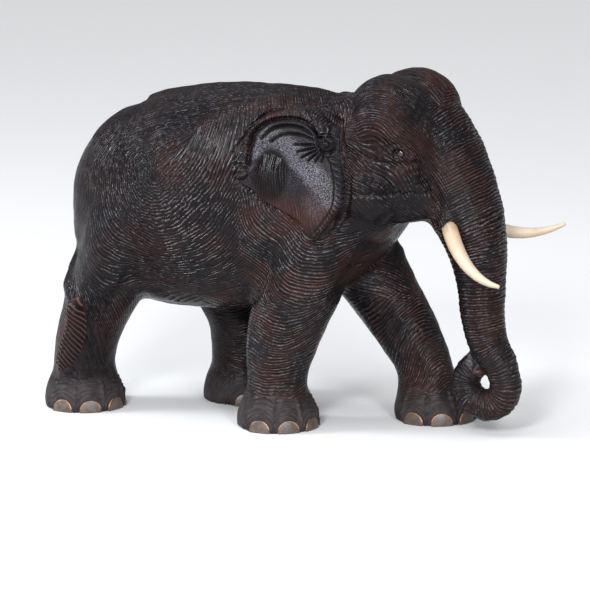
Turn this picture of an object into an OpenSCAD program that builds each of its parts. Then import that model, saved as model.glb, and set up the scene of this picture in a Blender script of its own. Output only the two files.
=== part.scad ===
// Carved wooden elephant in a walking pose, glued up from two blocks, with inlaid tusks, eyes and toenails.
// +X is toward the head, +Z is up, the soles rest on z = 0, and the elephant's right side is at -Y.

/* [Body] */
// Height of the back above the floor
back_h = 244; // [180:1:320]
// Clearance under the lowest part of the belly
belly_h = 77; // [50:1:110]
// Width of the barrel at its fullest
body_w = 124; // [90:1:160]
// Rump to breast
body_len = 268; // [210:1:340]
// Rearmost point of the rump
rump_x = -176; // [-220:1:-140]
// Plane where the two blocks are glued
seam_x = -20; // [-40:1:-10]

/* [Legs] */
// Between the centre lines of the left and right feet
stance_w = 70; // [60:1:90]
// Sole diameter
foot_d = 60; // [46:1:70]
// Hind leg where it enters the belly
hind_leg_d = 62; // [48:1:76]
// Front leg where it enters the belly
front_leg_d = 62; // [48:1:76]
// Hip centre
hip_x = -116; // [-140:1:-95]
// Shoulder centre
shoulder_x = 31; // [15:1:50]
// Right hind foot ahead of (+) or behind (-) the hip
hind_right_step = -41; // [-60:1:60]
// Left hind foot ahead of or behind the hip
hind_left_step = 57; // [-60:1:60]
// Right front foot ahead of or behind the shoulder
front_right_step = -28; // [-60:1:60]
// Left front foot ahead of or behind the shoulder
front_left_step = 67; // [-60:1:75]

/* [Head] */
// Crown above the floor
crown_h = 260; // [200:1:330]
// Crown centre along the body
crown_x = 87; // [70:1:105]
// Between the tops of the two domes
dome_gap = 48; // [30:1:64]
// Diameter of each dome
dome_d = 62; // [50:1:74]
// Across the cheeks
cheek_w = 92; // [74:1:110]
// Lowest point of the jaw above the floor
jaw_h = 152; // [120:1:180]

/* [Trunk] */
// Trunk thickness at the tusks
trunk_root_d = 46; // [36:1:56]
// Trunk thickness above the curl
trunk_low_d = 31; // [22:1:38]
// Trunk thickness along the curl
trunk_tip_d = 23; // [17:1:26]
// Curl centre along the body
curl_x = 152; // [145:1:165]
// Curl centre above the floor
curl_z = 37; // [32:1:50]
// Radius of the curl's centre line
curl_r = 15.5; // [13:0.5:20]

/* [Ears] */
// Ear length along the body
ear_len = 80; // [60:1:96]
// Ear height from the lower tip to the fold
ear_h = 89; // [70:1:108]
// Ear thickness
ear_t = 7; // [4:0.5:10]
// Front top corner of the ear along the body
ear_x = 63; // [52:1:72]
// Top of the ear above the floor
ear_top = 231; // [200:1:290]
// Across the outer faces of both ears
ear_span = 122; // [100:1:150]

/* [Tusks] */
// Tusk diameter where it leaves the cheek
tusk_d = 12; // [8:0.5:16]
// Tusk length along the curve outside the cheek
tusk_len = 70; // [40:1:90]
// Diameter of the tenon
tenon_d = 8; // [5:0.5:11]
// Tenon length
tenon_len = 14; // [8:1:20]
// Downward angle of the right tusk where it leaves the cheek
tusk_drop_right = 62; // [10:1:70]
// Downward angle of the left tusk where it leaves the cheek
tusk_drop_left = 37; // [10:1:70]
// How far each tusk lifts over its length
tusk_lift = 62; // [20:1:90]
// Outward splay of the tusks
tusk_splay = 38; // [5:1:50]

/* [Tail] */
// Root of the tail above the floor
tail_root_z = 100; // [80:1:130]
// Tip of the tail above the floor
tail_tip_z = 22; // [10:1:50]
// Width of the tail brush
brush_w = 17; // [10:1:20]

/* [Toenails and eyes] */
// Toenail width
nail_w = 16.5; // [12:0.5:19]
// How deep a toenail is let into the foot
nail_depth = 4; // [2.5:0.5:7]
// Angle between neighbouring toenails
nail_pitch = 42; // [36:1:48]
// Eye bead diameter
eye_d = 8; // [5:0.5:11]

/* [Fits] */
// Gap round each tenon, bead and inlay, on the radius
glue_gap = 0.12; // [0.05:0.01:0.3]
// How far a toenail stands out of the foot
nail_proud = 1.5; // [0.5:0.1:2]

/* [Hidden] */

wood = [0.13, 0.10, 0.10];
ivory = [0.90, 0.84, 0.70];
bead = [0.04, 0.03, 0.03];
horn = [0.42, 0.31, 0.24];

slack = 1;
foot_y = stance_w / 2;
shoulder_z = belly_h + 0.42 * (back_h - belly_h);
hip_z = belly_h + 0.40 * (back_h - belly_h);
knee_z = 30;

// Each foot: [x, y, first toenail angle from straight ahead, number of toenails]
foot_hr = [hip_x + hind_right_step, -foot_y, -95, 4];
foot_hl = [hip_x + hind_left_step, foot_y, -60, 4];
foot_fr = [shoulder_x + front_right_step, -foot_y, -91, 5];
foot_fl = [shoulder_x + front_left_step, foot_y, -99, 5];

// ---- curves ----

function mix(a, b, t) = a + (b - a) * t;
function ease(t) = t <= 0 ? 0 : t >= 1 ? 1 : t * t * (3 - 2 * t);
function clamp(v, lo, hi) = max(lo, min(hi, v));

// Smooth curve through the stations of a table at a place s from 0 to its last row
function along(table, s) =
    let (n = len(table) - 1, i = clamp(floor(s), 0, n - 1), t = s - i)
    let (a = table[max(i - 1, 0)], b = table[i], c = table[i + 1], d = table[min(i + 2, n)])
    0.5 * (2 * b + (c - a) * t + (2 * a - 5 * b + 4 * c - d) * t * t + (3 * b - a - 3 * c + d) * t * t * t);

// A skin over closed rings that all have the same number of points
module skin(rings) {
    n = len(rings[0]);
    last = len(rings) - 1;
    points = [for (ring = rings) each ring];
    sides = [
        for (i = [0 : last - 1]) for (k = [0 : n - 1])
            for (tri = [[0, 0, 0, 1, 1, 1], [0, 0, 1, 1, 1, 0]])
                [for (c = [0 : 2]) (i + tri[2 * c]) * n + (k + tri[2 * c + 1]) % n]
    ];
    start = [for (k = [0 : n - 1]) k];
    end = [for (k = [0 : n - 1]) last * n + n - 1 - k];
    polyhedron(points, concat([start, end], sides), convexity = 8);
}

// ---- torso ----

// Rows from rump to breast: place along the body, then top, bottom and width as shares of the barrel's
torso_rows = [
    [0.000, 0.52, 0.30, 0.12], [0.018, 0.64, 0.19, 0.38], [0.055, 0.73, 0.12, 0.60],
    [0.110, 0.83, 0.07, 0.76], [0.190, 0.90, 0.03, 0.89], [0.300, 0.955, 0.00, 0.97],
    [0.440, 0.99, 0.00, 1.00], [0.580, 1.00, 0.02, 0.98], [0.700, 0.99, 0.06, 0.94],
    [0.810, 0.97, 0.13, 0.86], [0.900, 0.93, 0.26, 0.74], [0.960, 0.88, 0.37, 0.60],
    [1.000, 0.80, 0.48, 0.34]
];
barrel_h = back_h - belly_h;
torso_steps = 26;
torso_facets = 40;

function torso_ring(row) = [
    for (k = [0 : torso_facets - 1])
        let (angle = -360 * k / torso_facets, c = cos(angle), s = sin(angle))
        let (top = belly_h + row[1] * barrel_h, bottom = belly_h + row[2] * barrel_h)
        [
            rump_x + row[0] * body_len,
            row[3] * body_w / 2 * sign(c) * pow(abs(c), 0.86),
            mix(bottom, top, 0.5 + 0.5 * sign(s) * pow(abs(s), 0.86))
        ]
];

module torso() {
    rows = len(torso_rows) - 1;
    skin([for (i = [0 : torso_steps]) torso_ring(along(torso_rows, rows * i / torso_steps))]);
}

// ---- legs ----

// Rows from the sole up: height as a share of the leg, then thickness as a share of the foot's
hind_rows = [
    [0.00, 0.985], [0.05, 1.00], [0.12, 0.93], [0.18, 0.81], [0.25, 0.78],
    [0.38, 0.82], [0.50, 0.91], [0.65, 1.06], [0.80, 1.17], [1.00, 1.20], [1.20, 0.86], [1.32, 0.30]
];
front_rows = [
    [0.00, 0.985], [0.05, 1.00], [0.11, 0.91], [0.18, 0.76], [0.25, 0.73],
    [0.35, 0.83], [0.46, 0.93], [0.60, 1.05], [0.78, 1.12], [1.00, 1.10], [1.20, 0.86], [1.32, 0.30]
];
leg_steps = 22;
leg_facets = 28;

module leg(foot, top_x, top_z, rows, belly_d, bend_z, tuck) {
    last = len(rows) - 1;
    flesh = belly_d / 62;
    skin([
        for (i = [0 : leg_steps])
            let (row = along(rows, last * i / leg_steps), z = row[0] * top_z)
            let (t = ease((z - bend_z) / (top_z - bend_z)), grow = mix(1, flesh, min(row[0], 1)))
            let (r = row[1] * foot_d / 2 * grow, x = mix(foot[0], top_x, t))
            let (ry = r * mix(1, 0.80, row[0]), out = min(abs(foot[1]) + ry, body_w / 2 - tuck * (row[0] - 0.5)))
            let (y = sign(foot[1]) * (row[0] < 0.5 ? abs(foot[1]) : out - ry))
            [
                for (k = [0 : leg_facets - 1])
                    let (angle = -360 * k / leg_facets)
                    [x + r * cos(angle), y + ry * sin(angle), z]
            ]
    ]);
}

// ---- toenails ----

function nail_angle(foot, i) = foot[2] + nail_pitch * i;

module nail_at(foot, i) {
    translate([foot[0], foot[1], 0])
        rotate([0, 0, nail_angle(foot, i)])
            children();
}

nail_z = 1.2;
// The nail's face is part of a ball centred a little below the sole
nail_ball_z = -2;
nail_face_r = foot_d / 2 + nail_proud;

module nail(foot, i) {
    color(horn) placed()
        nail_at(foot, i)
            intersection() {
                translate([foot_d / 2 - nail_depth, 0, nail_z])
                    rotate([0, 90, 0])
                        cylinder(d = nail_w, h = nail_depth + 4, $fn = 40);
                translate([0, 0, nail_ball_z])
                    sphere(r = nail_face_r, $fn = 96);
                translate([0, -nail_w, 0])
                    cube([foot_d, 2 * nail_w, nail_w]);
            }
}

module nail_pocket(foot, i) {
    nail_at(foot, i)
        translate([foot_d / 2 - nail_depth, 0, nail_z])
            rotate([0, 90, 0])
                cylinder(r = nail_w / 2 + glue_gap, h = nail_depth + 6, $fn = 24);
}

module nail_pockets(foot) {
    for (i = [0 : foot[3] - 1]) nail_pocket(foot, i);
}

// ---- tail ----

// The brush lies against the outer rear of the right hind leg, at this angle round the leg
brush_turn = -106;
shank_r = 0.40 * foot_d;
shank_lean = 0.36;
ankle_z = 0.5 * foot_d;

function shank_side(r, z) = [
    foot_hr[0] + shank_lean * max(z - ankle_z, 0) + r * cos(brush_turn), foot_hr[1] + r * sin(brush_turn), z
];

function tail_z(t) = mix(tail_root_z, tail_tip_z, t);

// Rows from root to tip: centre, then thickness of the tail
tail_rows = [
    [[rump_x + 10, -6, tail_root_z + 24], 6], [[rump_x + 10, -26, tail_root_z + 6], 6],
    [[rump_x + 14, -46, tail_z(0.1)], 6], [shank_side(shank_r + 6, tail_z(0.26)), 5.5],
    [shank_side(shank_r + 1, tail_z(0.42)), 5.5],
    [shank_side(shank_r - 4, tail_z(0.62)), brush_w / 2],
    [shank_side(shank_r - 5, tail_z(0.84)), brush_w / 2],
    [shank_side(shank_r - 1, tail_tip_z), 3.5]
];

module tail() {
    for (i = [0 : len(tail_rows) - 2])
        hull()
            for (row = [tail_rows[i], tail_rows[i + 1]])
                translate(row[0])
                    sphere(r = row[1], $fn = 18);
}

// ---- head and trunk ----

dome_r = dome_d / 2;
dome_z = crown_h - dome_r;
root_z = jaw_h - 2;
curl_top = curl_z + 29;
// Rows down the forehead and trunk: centre x, centre z, half thickness fore and aft, half width
trunk_rows = [
    [crown_x + 12, crown_h - 38, dome_r + 1, cheek_w * 0.38],
    [crown_x + 31, mix(root_z, crown_h, 0.42), dome_r, cheek_w * 0.36],
    [crown_x + 46, root_z + 16, trunk_root_d * 0.60, trunk_root_d * 0.62],
    [crown_x + 56, root_z - 10, trunk_root_d * 0.49, trunk_root_d * 0.53],
    [mix(crown_x + 59, curl_x - 4, 0.6), mix(root_z, curl_top, 0.42), mix(trunk_root_d, trunk_low_d, 0.62) / 2,
        mix(trunk_root_d, trunk_low_d, 0.55) / 2 + 0.5],
    [curl_x - 3, mix(root_z, curl_top, 0.76), trunk_low_d / 2, trunk_low_d / 2 + 1],
    [curl_x + 2, curl_top, trunk_low_d * 0.45, trunk_low_d * 0.48],
    [curl_x + curl_r - 4, curl_z + 15, trunk_tip_d * 0.55, trunk_tip_d * 0.57]
];
trunk_steps = 24;
trunk_facets = 26;
curl_from = 8;
curl_sweep = 246;
curl_steps = 20;
// How much the tip thins along the curl
tip_taper = 0.12;

// Ring round the centre line at (x, z), across the direction that the line takes
function trunk_ring(x, z, heading, rn, rl) = [
    for (k = [0 : trunk_facets - 1])
        let (angle = 360 * k / trunk_facets, n = rn * cos(angle))
        [x + n * sin(heading), rl * sin(angle), z - n * cos(heading)]
];

function trunk_body(s) =
    let (row = along(trunk_rows, s), next = along(trunk_rows, min(s + 0.02, len(trunk_rows) - 1)))
    let (prev = along(trunk_rows, max(s - 0.02, 0)))
    trunk_ring(row[0], row[1], atan2(next[1] - prev[1], next[0] - prev[0]), row[2], row[3]);

function trunk_curl(t) =
    let (angle = curl_from - t * curl_sweep, r = curl_r, thin = trunk_tip_d / 2 * (1 - tip_taper * t))
    trunk_ring(curl_x + r * cos(angle), curl_z + r * sin(angle), angle - 90, thin, thin * 1.02);

module trunk() {
    last = len(trunk_rows) - 1;
    skin(concat(
        [for (i = [0 : trunk_steps]) trunk_body(last * i / trunk_steps)],
        [for (i = [0 : curl_steps]) trunk_curl(i / curl_steps)]
    ));
}

// A ball with its own radius along each axis
module ball(at, r) {
    translate(at)
        scale(r)
            sphere(r = 1, $fn = 32);
}

module head() {
    cheek_y = cheek_w / 2;
    for (side = [-1, 1]) {
        hull() {
            ball([crown_x, side * dome_gap / 2, dome_z], [dome_r + 2, dome_r - 1, dome_r]);
            ball([crown_x + 6, side * (cheek_y - 26), dome_z - 30], [34, 26, 28]);
        }
        hull() {
            ball([crown_x + 6, side * (cheek_y - 26), dome_z - 30], [34, 26, 28]);
            ball([crown_x + 30, side * 14, jaw_h + 20], [16, 16, 16]);
            ball([crown_x + 2, side * 14, jaw_h + 15], [22, 16, 15]);
        }
        // Neck behind the cheek
        hull() {
            ball([crown_x - 32, side * 22, dome_z - 20], [32, 33, 34]);
            ball([crown_x - 20, side * 22, jaw_h + 26], [32, 31, 29]);
        }
        // Socket swelling that the tusk leaves
        hull() {
            ball([crown_x + 28, side * 14, jaw_h + 30], [14, 14, 14]);
            ball(tusk_root(side) - [4, 0, -3], [9, 8, 9]);
        }
    }
}

// ---- ears ----

// Rows round the ear's edge from the whorl, as shares of its length back and its height down
ear_edge = [
    [0.04, 0.16], [0.24, 0.02], [0.52, -0.01], [0.80, 0.10], [0.98, 0.30], [1.00, 0.52],
    [0.74, 0.66], [0.50, 0.80], [0.28, 1.00], [0.10, 0.82], [0.00, 0.50]
];
ear_mid = [0.42, 0.44];
// The first edges of the list carry the rolled rim
rolled_edges = 5;
roll_d = 11;
// The ear leans out toward the top and turns in toward the tip
function ear_point(p, in) = [
    ear_x - p[0] * ear_len,
    ear_span / 2 - in - 9 * pow(abs(p[1] - 0.42), 1.6) - 5 * pow(abs(p[0] - 0.40), 1.5),
    ear_top - p[1] * ear_h
];

module ear(side) {
    n = len(ear_edge);
    rim = ear_t / 2;
    mirror([0, side < 0 ? 1 : 0, 0]) {
        for (i = [0 : n - 1])
            hull() {
                for (p = [ear_edge[i], ear_edge[(i + 1) % n]])
                    translate(ear_point(p, rim + 1))
                        sphere(r = rim, $fn = 10);
                translate(ear_point(ear_mid, rim + 3))
                    sphere(r = rim, $fn = 10);
                translate(ear_point(ear_mid, 24))
                    sphere(r = 10, $fn = 8);
            }
        for (i = [0 : rolled_edges - 1])
            hull()
                for (p = [ear_edge[i], ear_edge[i + 1]])
                    translate(ear_point(p, roll_d / 2))
                        sphere(d = roll_d, $fn = 12);
    }
}

// ---- tusks ----

tusk_x = crown_x + 45;
tusk_y = trunk_root_d * 0.52;
tusk_z = jaw_h + 2;
tusk_steps = 9;
tusk_facets = 20;
tusk_tip_d = 3;

function tusk_root(side) = [tusk_x, side * tusk_y, tusk_z];
// Downward angle of the tusk at a share t of its length
function tusk_dip(side, t) = (side < 0 ? tusk_drop_right : tusk_drop_left) - tusk_lift * t;
function tusk_turn(side, t) = side * tusk_splay * (1 - 0.3 * t);
function tusk_way(side, t) =
    let (dip = tusk_dip(side, t), turn = tusk_turn(side, t))
    [cos(dip) * cos(turn), cos(dip) * sin(turn), -sin(dip)];
function tusk_point(side, i) =
    i == 0 ? tusk_root(side)
    : tusk_point(side, i - 1) + tusk_way(side, (i - 0.5) / tusk_steps) * tusk_len / tusk_steps;
function tusk_r(t) = mix(tusk_d / 2, tusk_tip_d / 2, pow(t, 1.4));

module along_way(way) {
    rotate([0, acos(way[2]), atan2(way[1], way[0])])
        children();
}

module tusk(side) {
    for (i = [0 : tusk_steps - 1])
        hull()
            for (j = [i, i + 1])
                translate(tusk_point(side, j))
                    sphere(r = tusk_r(j / tusk_steps), $fn = tusk_facets);
    translate(tusk_root(side))
        along_way(-tusk_way(side, 0))
            cylinder(d = tenon_d, h = tenon_len, $fn = 32);
}

// Drilled hole for the tenon, and the counterbore that the tusk's end sits in
module tusk_socket(side) {
    translate(tusk_root(side))
        along_way(-tusk_way(side, 0))
            union() {
                cylinder(r = tenon_d / 2 + glue_gap, h = tenon_len, $fn = 24);
                translate([0, 0, -tusk_d * 2])
                    cylinder(r = tusk_d / 2 + glue_gap, h = tusk_d * 2, $fn = 28);
                sphere(r = tusk_d / 2 + glue_gap, $fn = 28);
            }
}

// ---- eyes ----

function eye_at(side) = [crown_x + 15, side * (cheek_w / 2 - 4.5), dome_z - 22];

module eye(side) {
    color(bead) placed()
        translate(eye_at(side))
            rotate([-90 * side, 0, 0])
                union() {
                    sphere(d = eye_d, $fn = 48);
                    translate([0, 0, -eye_d])
                        cylinder(d = eye_d * 0.6, h = eye_d, $fn = 32);
                }
}

module eye_socket(side) {
    translate(eye_at(side))
        rotate([-90 * side, 0, 0])
            union() {
                sphere(d = eye_d + 2 * glue_gap, $fn = 24);
                cylinder(d = eye_d + 2 * glue_gap, h = eye_d, $fn = 24);
                translate([0, 0, -eye_d])
                    cylinder(r = eye_d * 0.3 + glue_gap, h = eye_d, $fn = 24);
            }
}

// ---- placing ----

// The origin is under the middle of the whole carving, so every piece moves by the same amount
back_end = foot_hr[0] - foot_d / 2;
front_end = max(tusk_point(-1, tusk_steps)[0], tusk_point(1, tusk_steps)[0]) + tusk_tip_d / 2;
mid_x = (back_end + front_end) / 2;

module placed() {
    translate([-mid_x, 0, 0])
        children();
}

// ---- blocks ----

big = 600;

module above_floor() {
    translate([-big / 2, -big / 2, 0])
        cube([big, big, big]);
}

// Torso behind the glue joint
module rear_torso() {
    intersection() {
        torso();
        translate([seam_x - big, -big / 2, 0])
            cube([big, big, big]);
    }
}

module rear_block() {
    color(wood) placed()
        difference() {
            intersection() {
                union() {
                    rear_torso();
                    leg(foot_hr, hip_x - 4, hip_z, hind_rows, hind_leg_d, knee_z, 10);
                    leg(foot_hl, hip_x + 8, hip_z, hind_rows, hind_leg_d, knee_z + 20, 10);
                    tail();
                    // Haunches over the hind legs
                    for (side = [-1, 1])
                        hull() {
                            ball([hip_x + 2, side * 26, hip_z + 26], [44, 29, 44]);
                            ball([hip_x, side * 30, hip_z - 16], [40, 29, 36]);
                        }
                    // Hip bones
                    for (side = [-1, 1])
                        hull() {
                            ball([hip_x - 10, side * 18, back_h - 44], [22, 18, 18]);
                            ball([hip_x + 12, side * 24, back_h - 54], [26, 23, 26]);
                        }
                }
                above_floor();
            }
            nail_pockets(foot_hr);
            nail_pockets(foot_hl);
        }
}

module front_block() {
    color(wood) placed()
        difference() {
            intersection() {
                union() {
                    intersection() {
                        torso();
                        translate([seam_x, -big / 2, 0])
                            cube([big, big, big]);
                    }
                    leg(foot_fr, shoulder_x - 3, shoulder_z, front_rows, front_leg_d, knee_z, 12);
                    leg(foot_fl, shoulder_x + 3, shoulder_z, front_rows, front_leg_d, 5, 12);
                    head();
                    trunk();
                    // Where the ears pass the glue joint they lie on the rear block
                    difference() {
                        union() {
                            ear(-1);
                            ear(1);
                        }
                        rear_torso();
                    }
                }
                above_floor();
            }
            nail_pockets(foot_fr);
            nail_pockets(foot_fl);
            tusk_socket(-1);
            tusk_socket(1);
            eye_socket(-1);
            eye_socket(1);
        }
}

module tusk_right() { color(ivory) placed() tusk(-1); }
module tusk_left() { color(ivory) placed() tusk(1); }
module eye_right() { eye(-1); }
module eye_left() { eye(1); }
module nail_front_right_1() { nail(foot_fr, 0); }
module nail_front_right_2() { nail(foot_fr, 1); }
module nail_front_right_3() { nail(foot_fr, 2); }
module nail_front_right_4() { nail(foot_fr, 3); }
module nail_front_right_5() { nail(foot_fr, 4); }
module nail_front_left_1() { nail(foot_fl, 0); }
module nail_front_left_2() { nail(foot_fl, 1); }
module nail_front_left_3() { nail(foot_fl, 2); }
module nail_front_left_4() { nail(foot_fl, 3); }
module nail_front_left_5() { nail(foot_fl, 4); }
module nail_hind_right_1() { nail(foot_hr, 0); }
module nail_hind_right_2() { nail(foot_hr, 1); }
module nail_hind_right_3() { nail(foot_hr, 2); }
module nail_hind_right_4() { nail(foot_hr, 3); }
module nail_hind_left_1() { nail(foot_hl, 0); }
module nail_hind_left_2() { nail(foot_hl, 1); }
module nail_hind_left_3() { nail(foot_hl, 2); }
module nail_hind_left_4() { nail(foot_hl, 3); }

rear_block();
front_block();
tusk_right();
tusk_left();
eye_right();
eye_left();
nail_front_right_1();
nail_front_right_2();
nail_front_right_3();
nail_front_right_4();
nail_front_right_5();
nail_front_left_1();
nail_front_left_2();
nail_front_left_3();
nail_front_left_4();
nail_front_left_5();
nail_hind_right_1();
nail_hind_right_2();
nail_hind_right_3();
nail_hind_right_4();
nail_hind_left_1();
nail_hind_left_2();
nail_hind_left_3();
nail_hind_left_4();
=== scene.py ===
"""Carved wooden elephant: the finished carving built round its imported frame.

The two blocks of the carving are taken from the frame, closed up into one skin, softened, and then worked
with the same moves that a carver makes: hollows, swellings, grooves, and last the fine gouge lines.
All sizes below are in millimetres and are turned into metres where a mesh is written.
"""

from __future__ import annotations

import logging
import math
from dataclasses import dataclass, field
from enum import Enum
from typing import Callable, Iterable, Iterator, Sequence

import bmesh
import bpy
import numpy as np
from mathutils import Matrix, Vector
from mathutils.bvhtree import BVHTree

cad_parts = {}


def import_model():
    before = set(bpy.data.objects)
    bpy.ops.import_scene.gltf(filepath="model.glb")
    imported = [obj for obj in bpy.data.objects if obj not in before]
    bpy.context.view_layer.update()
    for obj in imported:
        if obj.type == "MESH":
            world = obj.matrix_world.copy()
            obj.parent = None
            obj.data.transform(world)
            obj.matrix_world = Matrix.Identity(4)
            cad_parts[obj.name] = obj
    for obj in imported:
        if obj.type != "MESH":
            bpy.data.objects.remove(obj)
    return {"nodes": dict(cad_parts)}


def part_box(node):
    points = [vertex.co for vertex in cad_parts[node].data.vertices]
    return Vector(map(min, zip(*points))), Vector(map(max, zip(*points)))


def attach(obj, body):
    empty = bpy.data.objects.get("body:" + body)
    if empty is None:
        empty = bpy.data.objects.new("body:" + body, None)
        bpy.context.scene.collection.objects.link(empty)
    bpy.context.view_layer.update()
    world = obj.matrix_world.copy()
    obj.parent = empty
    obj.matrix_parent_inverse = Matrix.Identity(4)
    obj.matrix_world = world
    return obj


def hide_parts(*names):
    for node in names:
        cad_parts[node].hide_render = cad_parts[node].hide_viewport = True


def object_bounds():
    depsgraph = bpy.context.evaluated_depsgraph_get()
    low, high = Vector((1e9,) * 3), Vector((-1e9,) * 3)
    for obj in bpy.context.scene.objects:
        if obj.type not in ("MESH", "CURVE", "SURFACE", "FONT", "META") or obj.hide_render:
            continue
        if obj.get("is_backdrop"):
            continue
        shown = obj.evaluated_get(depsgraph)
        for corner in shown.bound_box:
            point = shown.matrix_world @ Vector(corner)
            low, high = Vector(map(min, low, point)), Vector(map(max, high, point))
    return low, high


LOG = logging.getLogger("carved_elephant")
MM = 0.001
TAU = math.tau
FLOWS = ("flow_a", "flow_b", "flow_c", "flow_d")
FAR = 1e9
Array = np.ndarray
Point = tuple[float, float]
Colour = tuple[float, ...]
Socket = bpy.types.NodeSocket


# ---------------------------------------------------------------- small tools


def rise(low: float, high: float, value: Array) -> Array:
    """Smooth step from 0 at low to 1 at high.

    Args:
        low: Value where the step starts.
        high: Value where the step ends.
        value: Values to test.

    Returns:
        Values from 0 to 1.
    """
    t = np.clip((value - low) / (high - low), 0.0, 1.0)
    return t * t * (3.0 - 2.0 * t)


def fall(reach: float, distance: Array) -> Array:
    """Soft bump that is 1 at no distance and 0 at reach.

    Args:
        reach: Distance where the bump ends.
        distance: Distances to test.

    Returns:
        Values from 0 to 1.
    """
    t = np.clip(1.0 - (distance / reach) ** 2, 0.0, 1.0)
    return t * t


def curve_points(points: Sequence[Sequence[float]], steps: int = 12, closed: bool = False) -> Array:
    """Smooth curve through a few points.

    Args:
        points: The points that the curve passes through.
        steps: Points made for each span.
        closed: Whether the curve returns to its start.

    Returns:
        The points along the curve, one row each.
    """
    pts = np.array(points, float)
    count = len(pts)
    out = []
    for i in range(count if closed else count - 1):
        picks = [(i + k) % count if closed else min(max(i + k, 0), count - 1) for k in (-1, 0, 1, 2)]
        a, b, c, d = pts[picks]
        for j in range(steps):
            t = j / steps
            bend = (2 * a - 5 * b + 4 * c - d) * t * t + (3 * b - a - 3 * c + d) * t**3
            out.append(0.5 * (2 * b + (c - a) * t + bend))
    if not closed:
        out.append(pts[-1])
    return np.array(out)


def nearest(points: Array, path: Array) -> tuple[Array, Array]:
    """Distance from each point to a path, and how far along the path that is.

    Args:
        points: One row for each point.
        path: The path's points, one row each.

    Returns:
        Distances, and lengths along the path.
    """
    lengths = np.concatenate([[0.0], np.cumsum(np.linalg.norm(np.diff(path, axis=0), axis=1))])
    best = np.full(len(points), FAR)
    along = np.zeros(len(points))
    for i in range(len(path) - 1):
        start, way = path[i], path[i + 1] - path[i]
        size = float(way @ way)
        if size < 1e-12:
            continue
        t = np.clip((points - start) @ way / size, 0.0, 1.0)
        gap = np.linalg.norm(points - start - t[:, None] * way, axis=1)
        closer = gap < best
        best[closer] = gap[closer]
        along[closer] = (lengths[i] + t * math.sqrt(size))[closer]
    return best, along


def gap_to(points: Array, path: Sequence[Point]) -> Array:
    """Distance from each point to the smooth curve through a few places."""
    return nearest(points, curve_points(path, 10))[0]


def ripple(points: Array, size: float, seed: float = 0.0) -> Array:
    """Smooth uneven value in space from a few crossing waves, the same each run.

    Args:
        points: One row for each point, in millimetres.
        size: Rough size of a patch.
        seed: Shifts the pattern.

    Returns:
        Values from about -1 to 1.
    """
    # Each wave: direction, pace, start, and how the seed moves it
    waves = (
        ((0.83, 0.31, 0.47), 1.0, 1.3, 1.0),
        ((-0.42, 0.88, 0.21), 1.31, 4.1, 1.7),
        ((0.26, -0.37, 0.89), 0.77, 2.2, 0.6),
        ((0.61, 0.55, -0.57), 1.83, 0.4, 2.3),
    )
    k = TAU / size
    parts = [np.sin(k * pace * (points @ way) + start + seed * move) for way, pace, start, move in waves]
    return sum(parts) / 2.6


@dataclass
class Skin:
    """A mesh held as arrays, so that it can be worked like a carving."""

    points: Array
    edges: Array

    @classmethod
    def of(cls, mesh: bpy.types.Mesh) -> "Skin":
        """Reads a mesh.

        Args:
            mesh: The mesh, in metres.

        Returns:
            Its arrays, in millimetres.
        """
        co = np.empty(len(mesh.vertices) * 3)
        mesh.vertices.foreach_get("co", co)
        edges = np.empty(len(mesh.edges) * 2, int)
        mesh.edges.foreach_get("vertices", edges)
        return cls(co.reshape(-1, 3) / MM, edges.reshape(-1, 2))

    def write(self, mesh: bpy.types.Mesh) -> None:
        """Puts the worked points back into the mesh."""
        mesh.vertices.foreach_set("co", (self.points * MM).ravel())
        mesh.update()

    def average(self, values: Array) -> Array:
        """Mean of each point's neighbours.

        Args:
            values: One row for each point.

        Returns:
            The neighbours' mean, one row for each point.
        """
        count = len(values)
        a, b = self.edges.T
        ones = np.bincount(a, minlength=count) + np.bincount(b, minlength=count)
        total = [np.bincount(a, row[b], count) + np.bincount(b, row[a], count) for row in values.T]
        return np.stack(total, 1) / np.maximum(ones, 1)[:, None]

    def soften(self, rounds: int, amount: Array | float = 1.0) -> None:
        """Rounds the skin off without shrinking it.

        Args:
            rounds: How many passes.
            amount: How much each point takes part, from 0 to 1.
        """
        share = np.broadcast_to(np.asarray(amount, float), (len(self.points),))[:, None]
        for _ in range(rounds):
            for step in (0.55, -0.57):
                self.points = self.points + share * step * (self.average(self.points) - self.points)


def normals_of(mesh: bpy.types.Mesh) -> Array:
    """Outward direction at each point of a mesh.

    Args:
        mesh: The mesh to read.

    Returns:
        Unit vectors, one row each.
    """
    out = np.empty(len(mesh.vertices) * 3)
    mesh.vertices.foreach_get("normal", out)
    return out.reshape(-1, 3)


def middle_of(node: str) -> Array:
    """Middle of a frame node's box, in millimetres."""
    return np.mean(np.array(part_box(node), float), axis=0) / MM


def placed(name: str, mesh: bpy.types.Mesh | bpy.types.Light | bpy.types.Camera) -> bpy.types.Object:
    """Links a new object to the scene.

    Args:
        name: The object's name.
        mesh: Its mesh, light or camera.

    Returns:
        The object.
    """
    obj = bpy.data.objects.new(name, mesh)
    bpy.context.scene.collection.objects.link(obj)
    return obj


def mesh_from(bm: bmesh.types.BMesh, name: str) -> bpy.types.Mesh:
    """Writes a bmesh to a new mesh and frees it.

    Args:
        bm: The bmesh.
        name: The mesh's name.

    Returns:
        The mesh.
    """
    mesh = bpy.data.meshes.new(name)
    bm.to_mesh(mesh)
    bm.free()
    return mesh


def unit_ball(name: str, around: int, rings: int) -> tuple[bpy.types.Mesh, "Skin", Array]:
    """Makes the ball that a leaf-like piece is pressed from.

    Args:
        name: The mesh's name.
        around: Faces round the ball.
        rings: Faces from pole to pole.

    Returns:
        The mesh, its skin, and the points on the ball of radius 1.
    """
    bm = bmesh.new()
    bmesh.ops.create_uvsphere(bm, u_segments=around, v_segments=rings, radius=1.0)
    mesh = mesh_from(bm, name)
    skin = Skin.of(mesh)
    return mesh, skin, skin.points * MM


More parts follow.
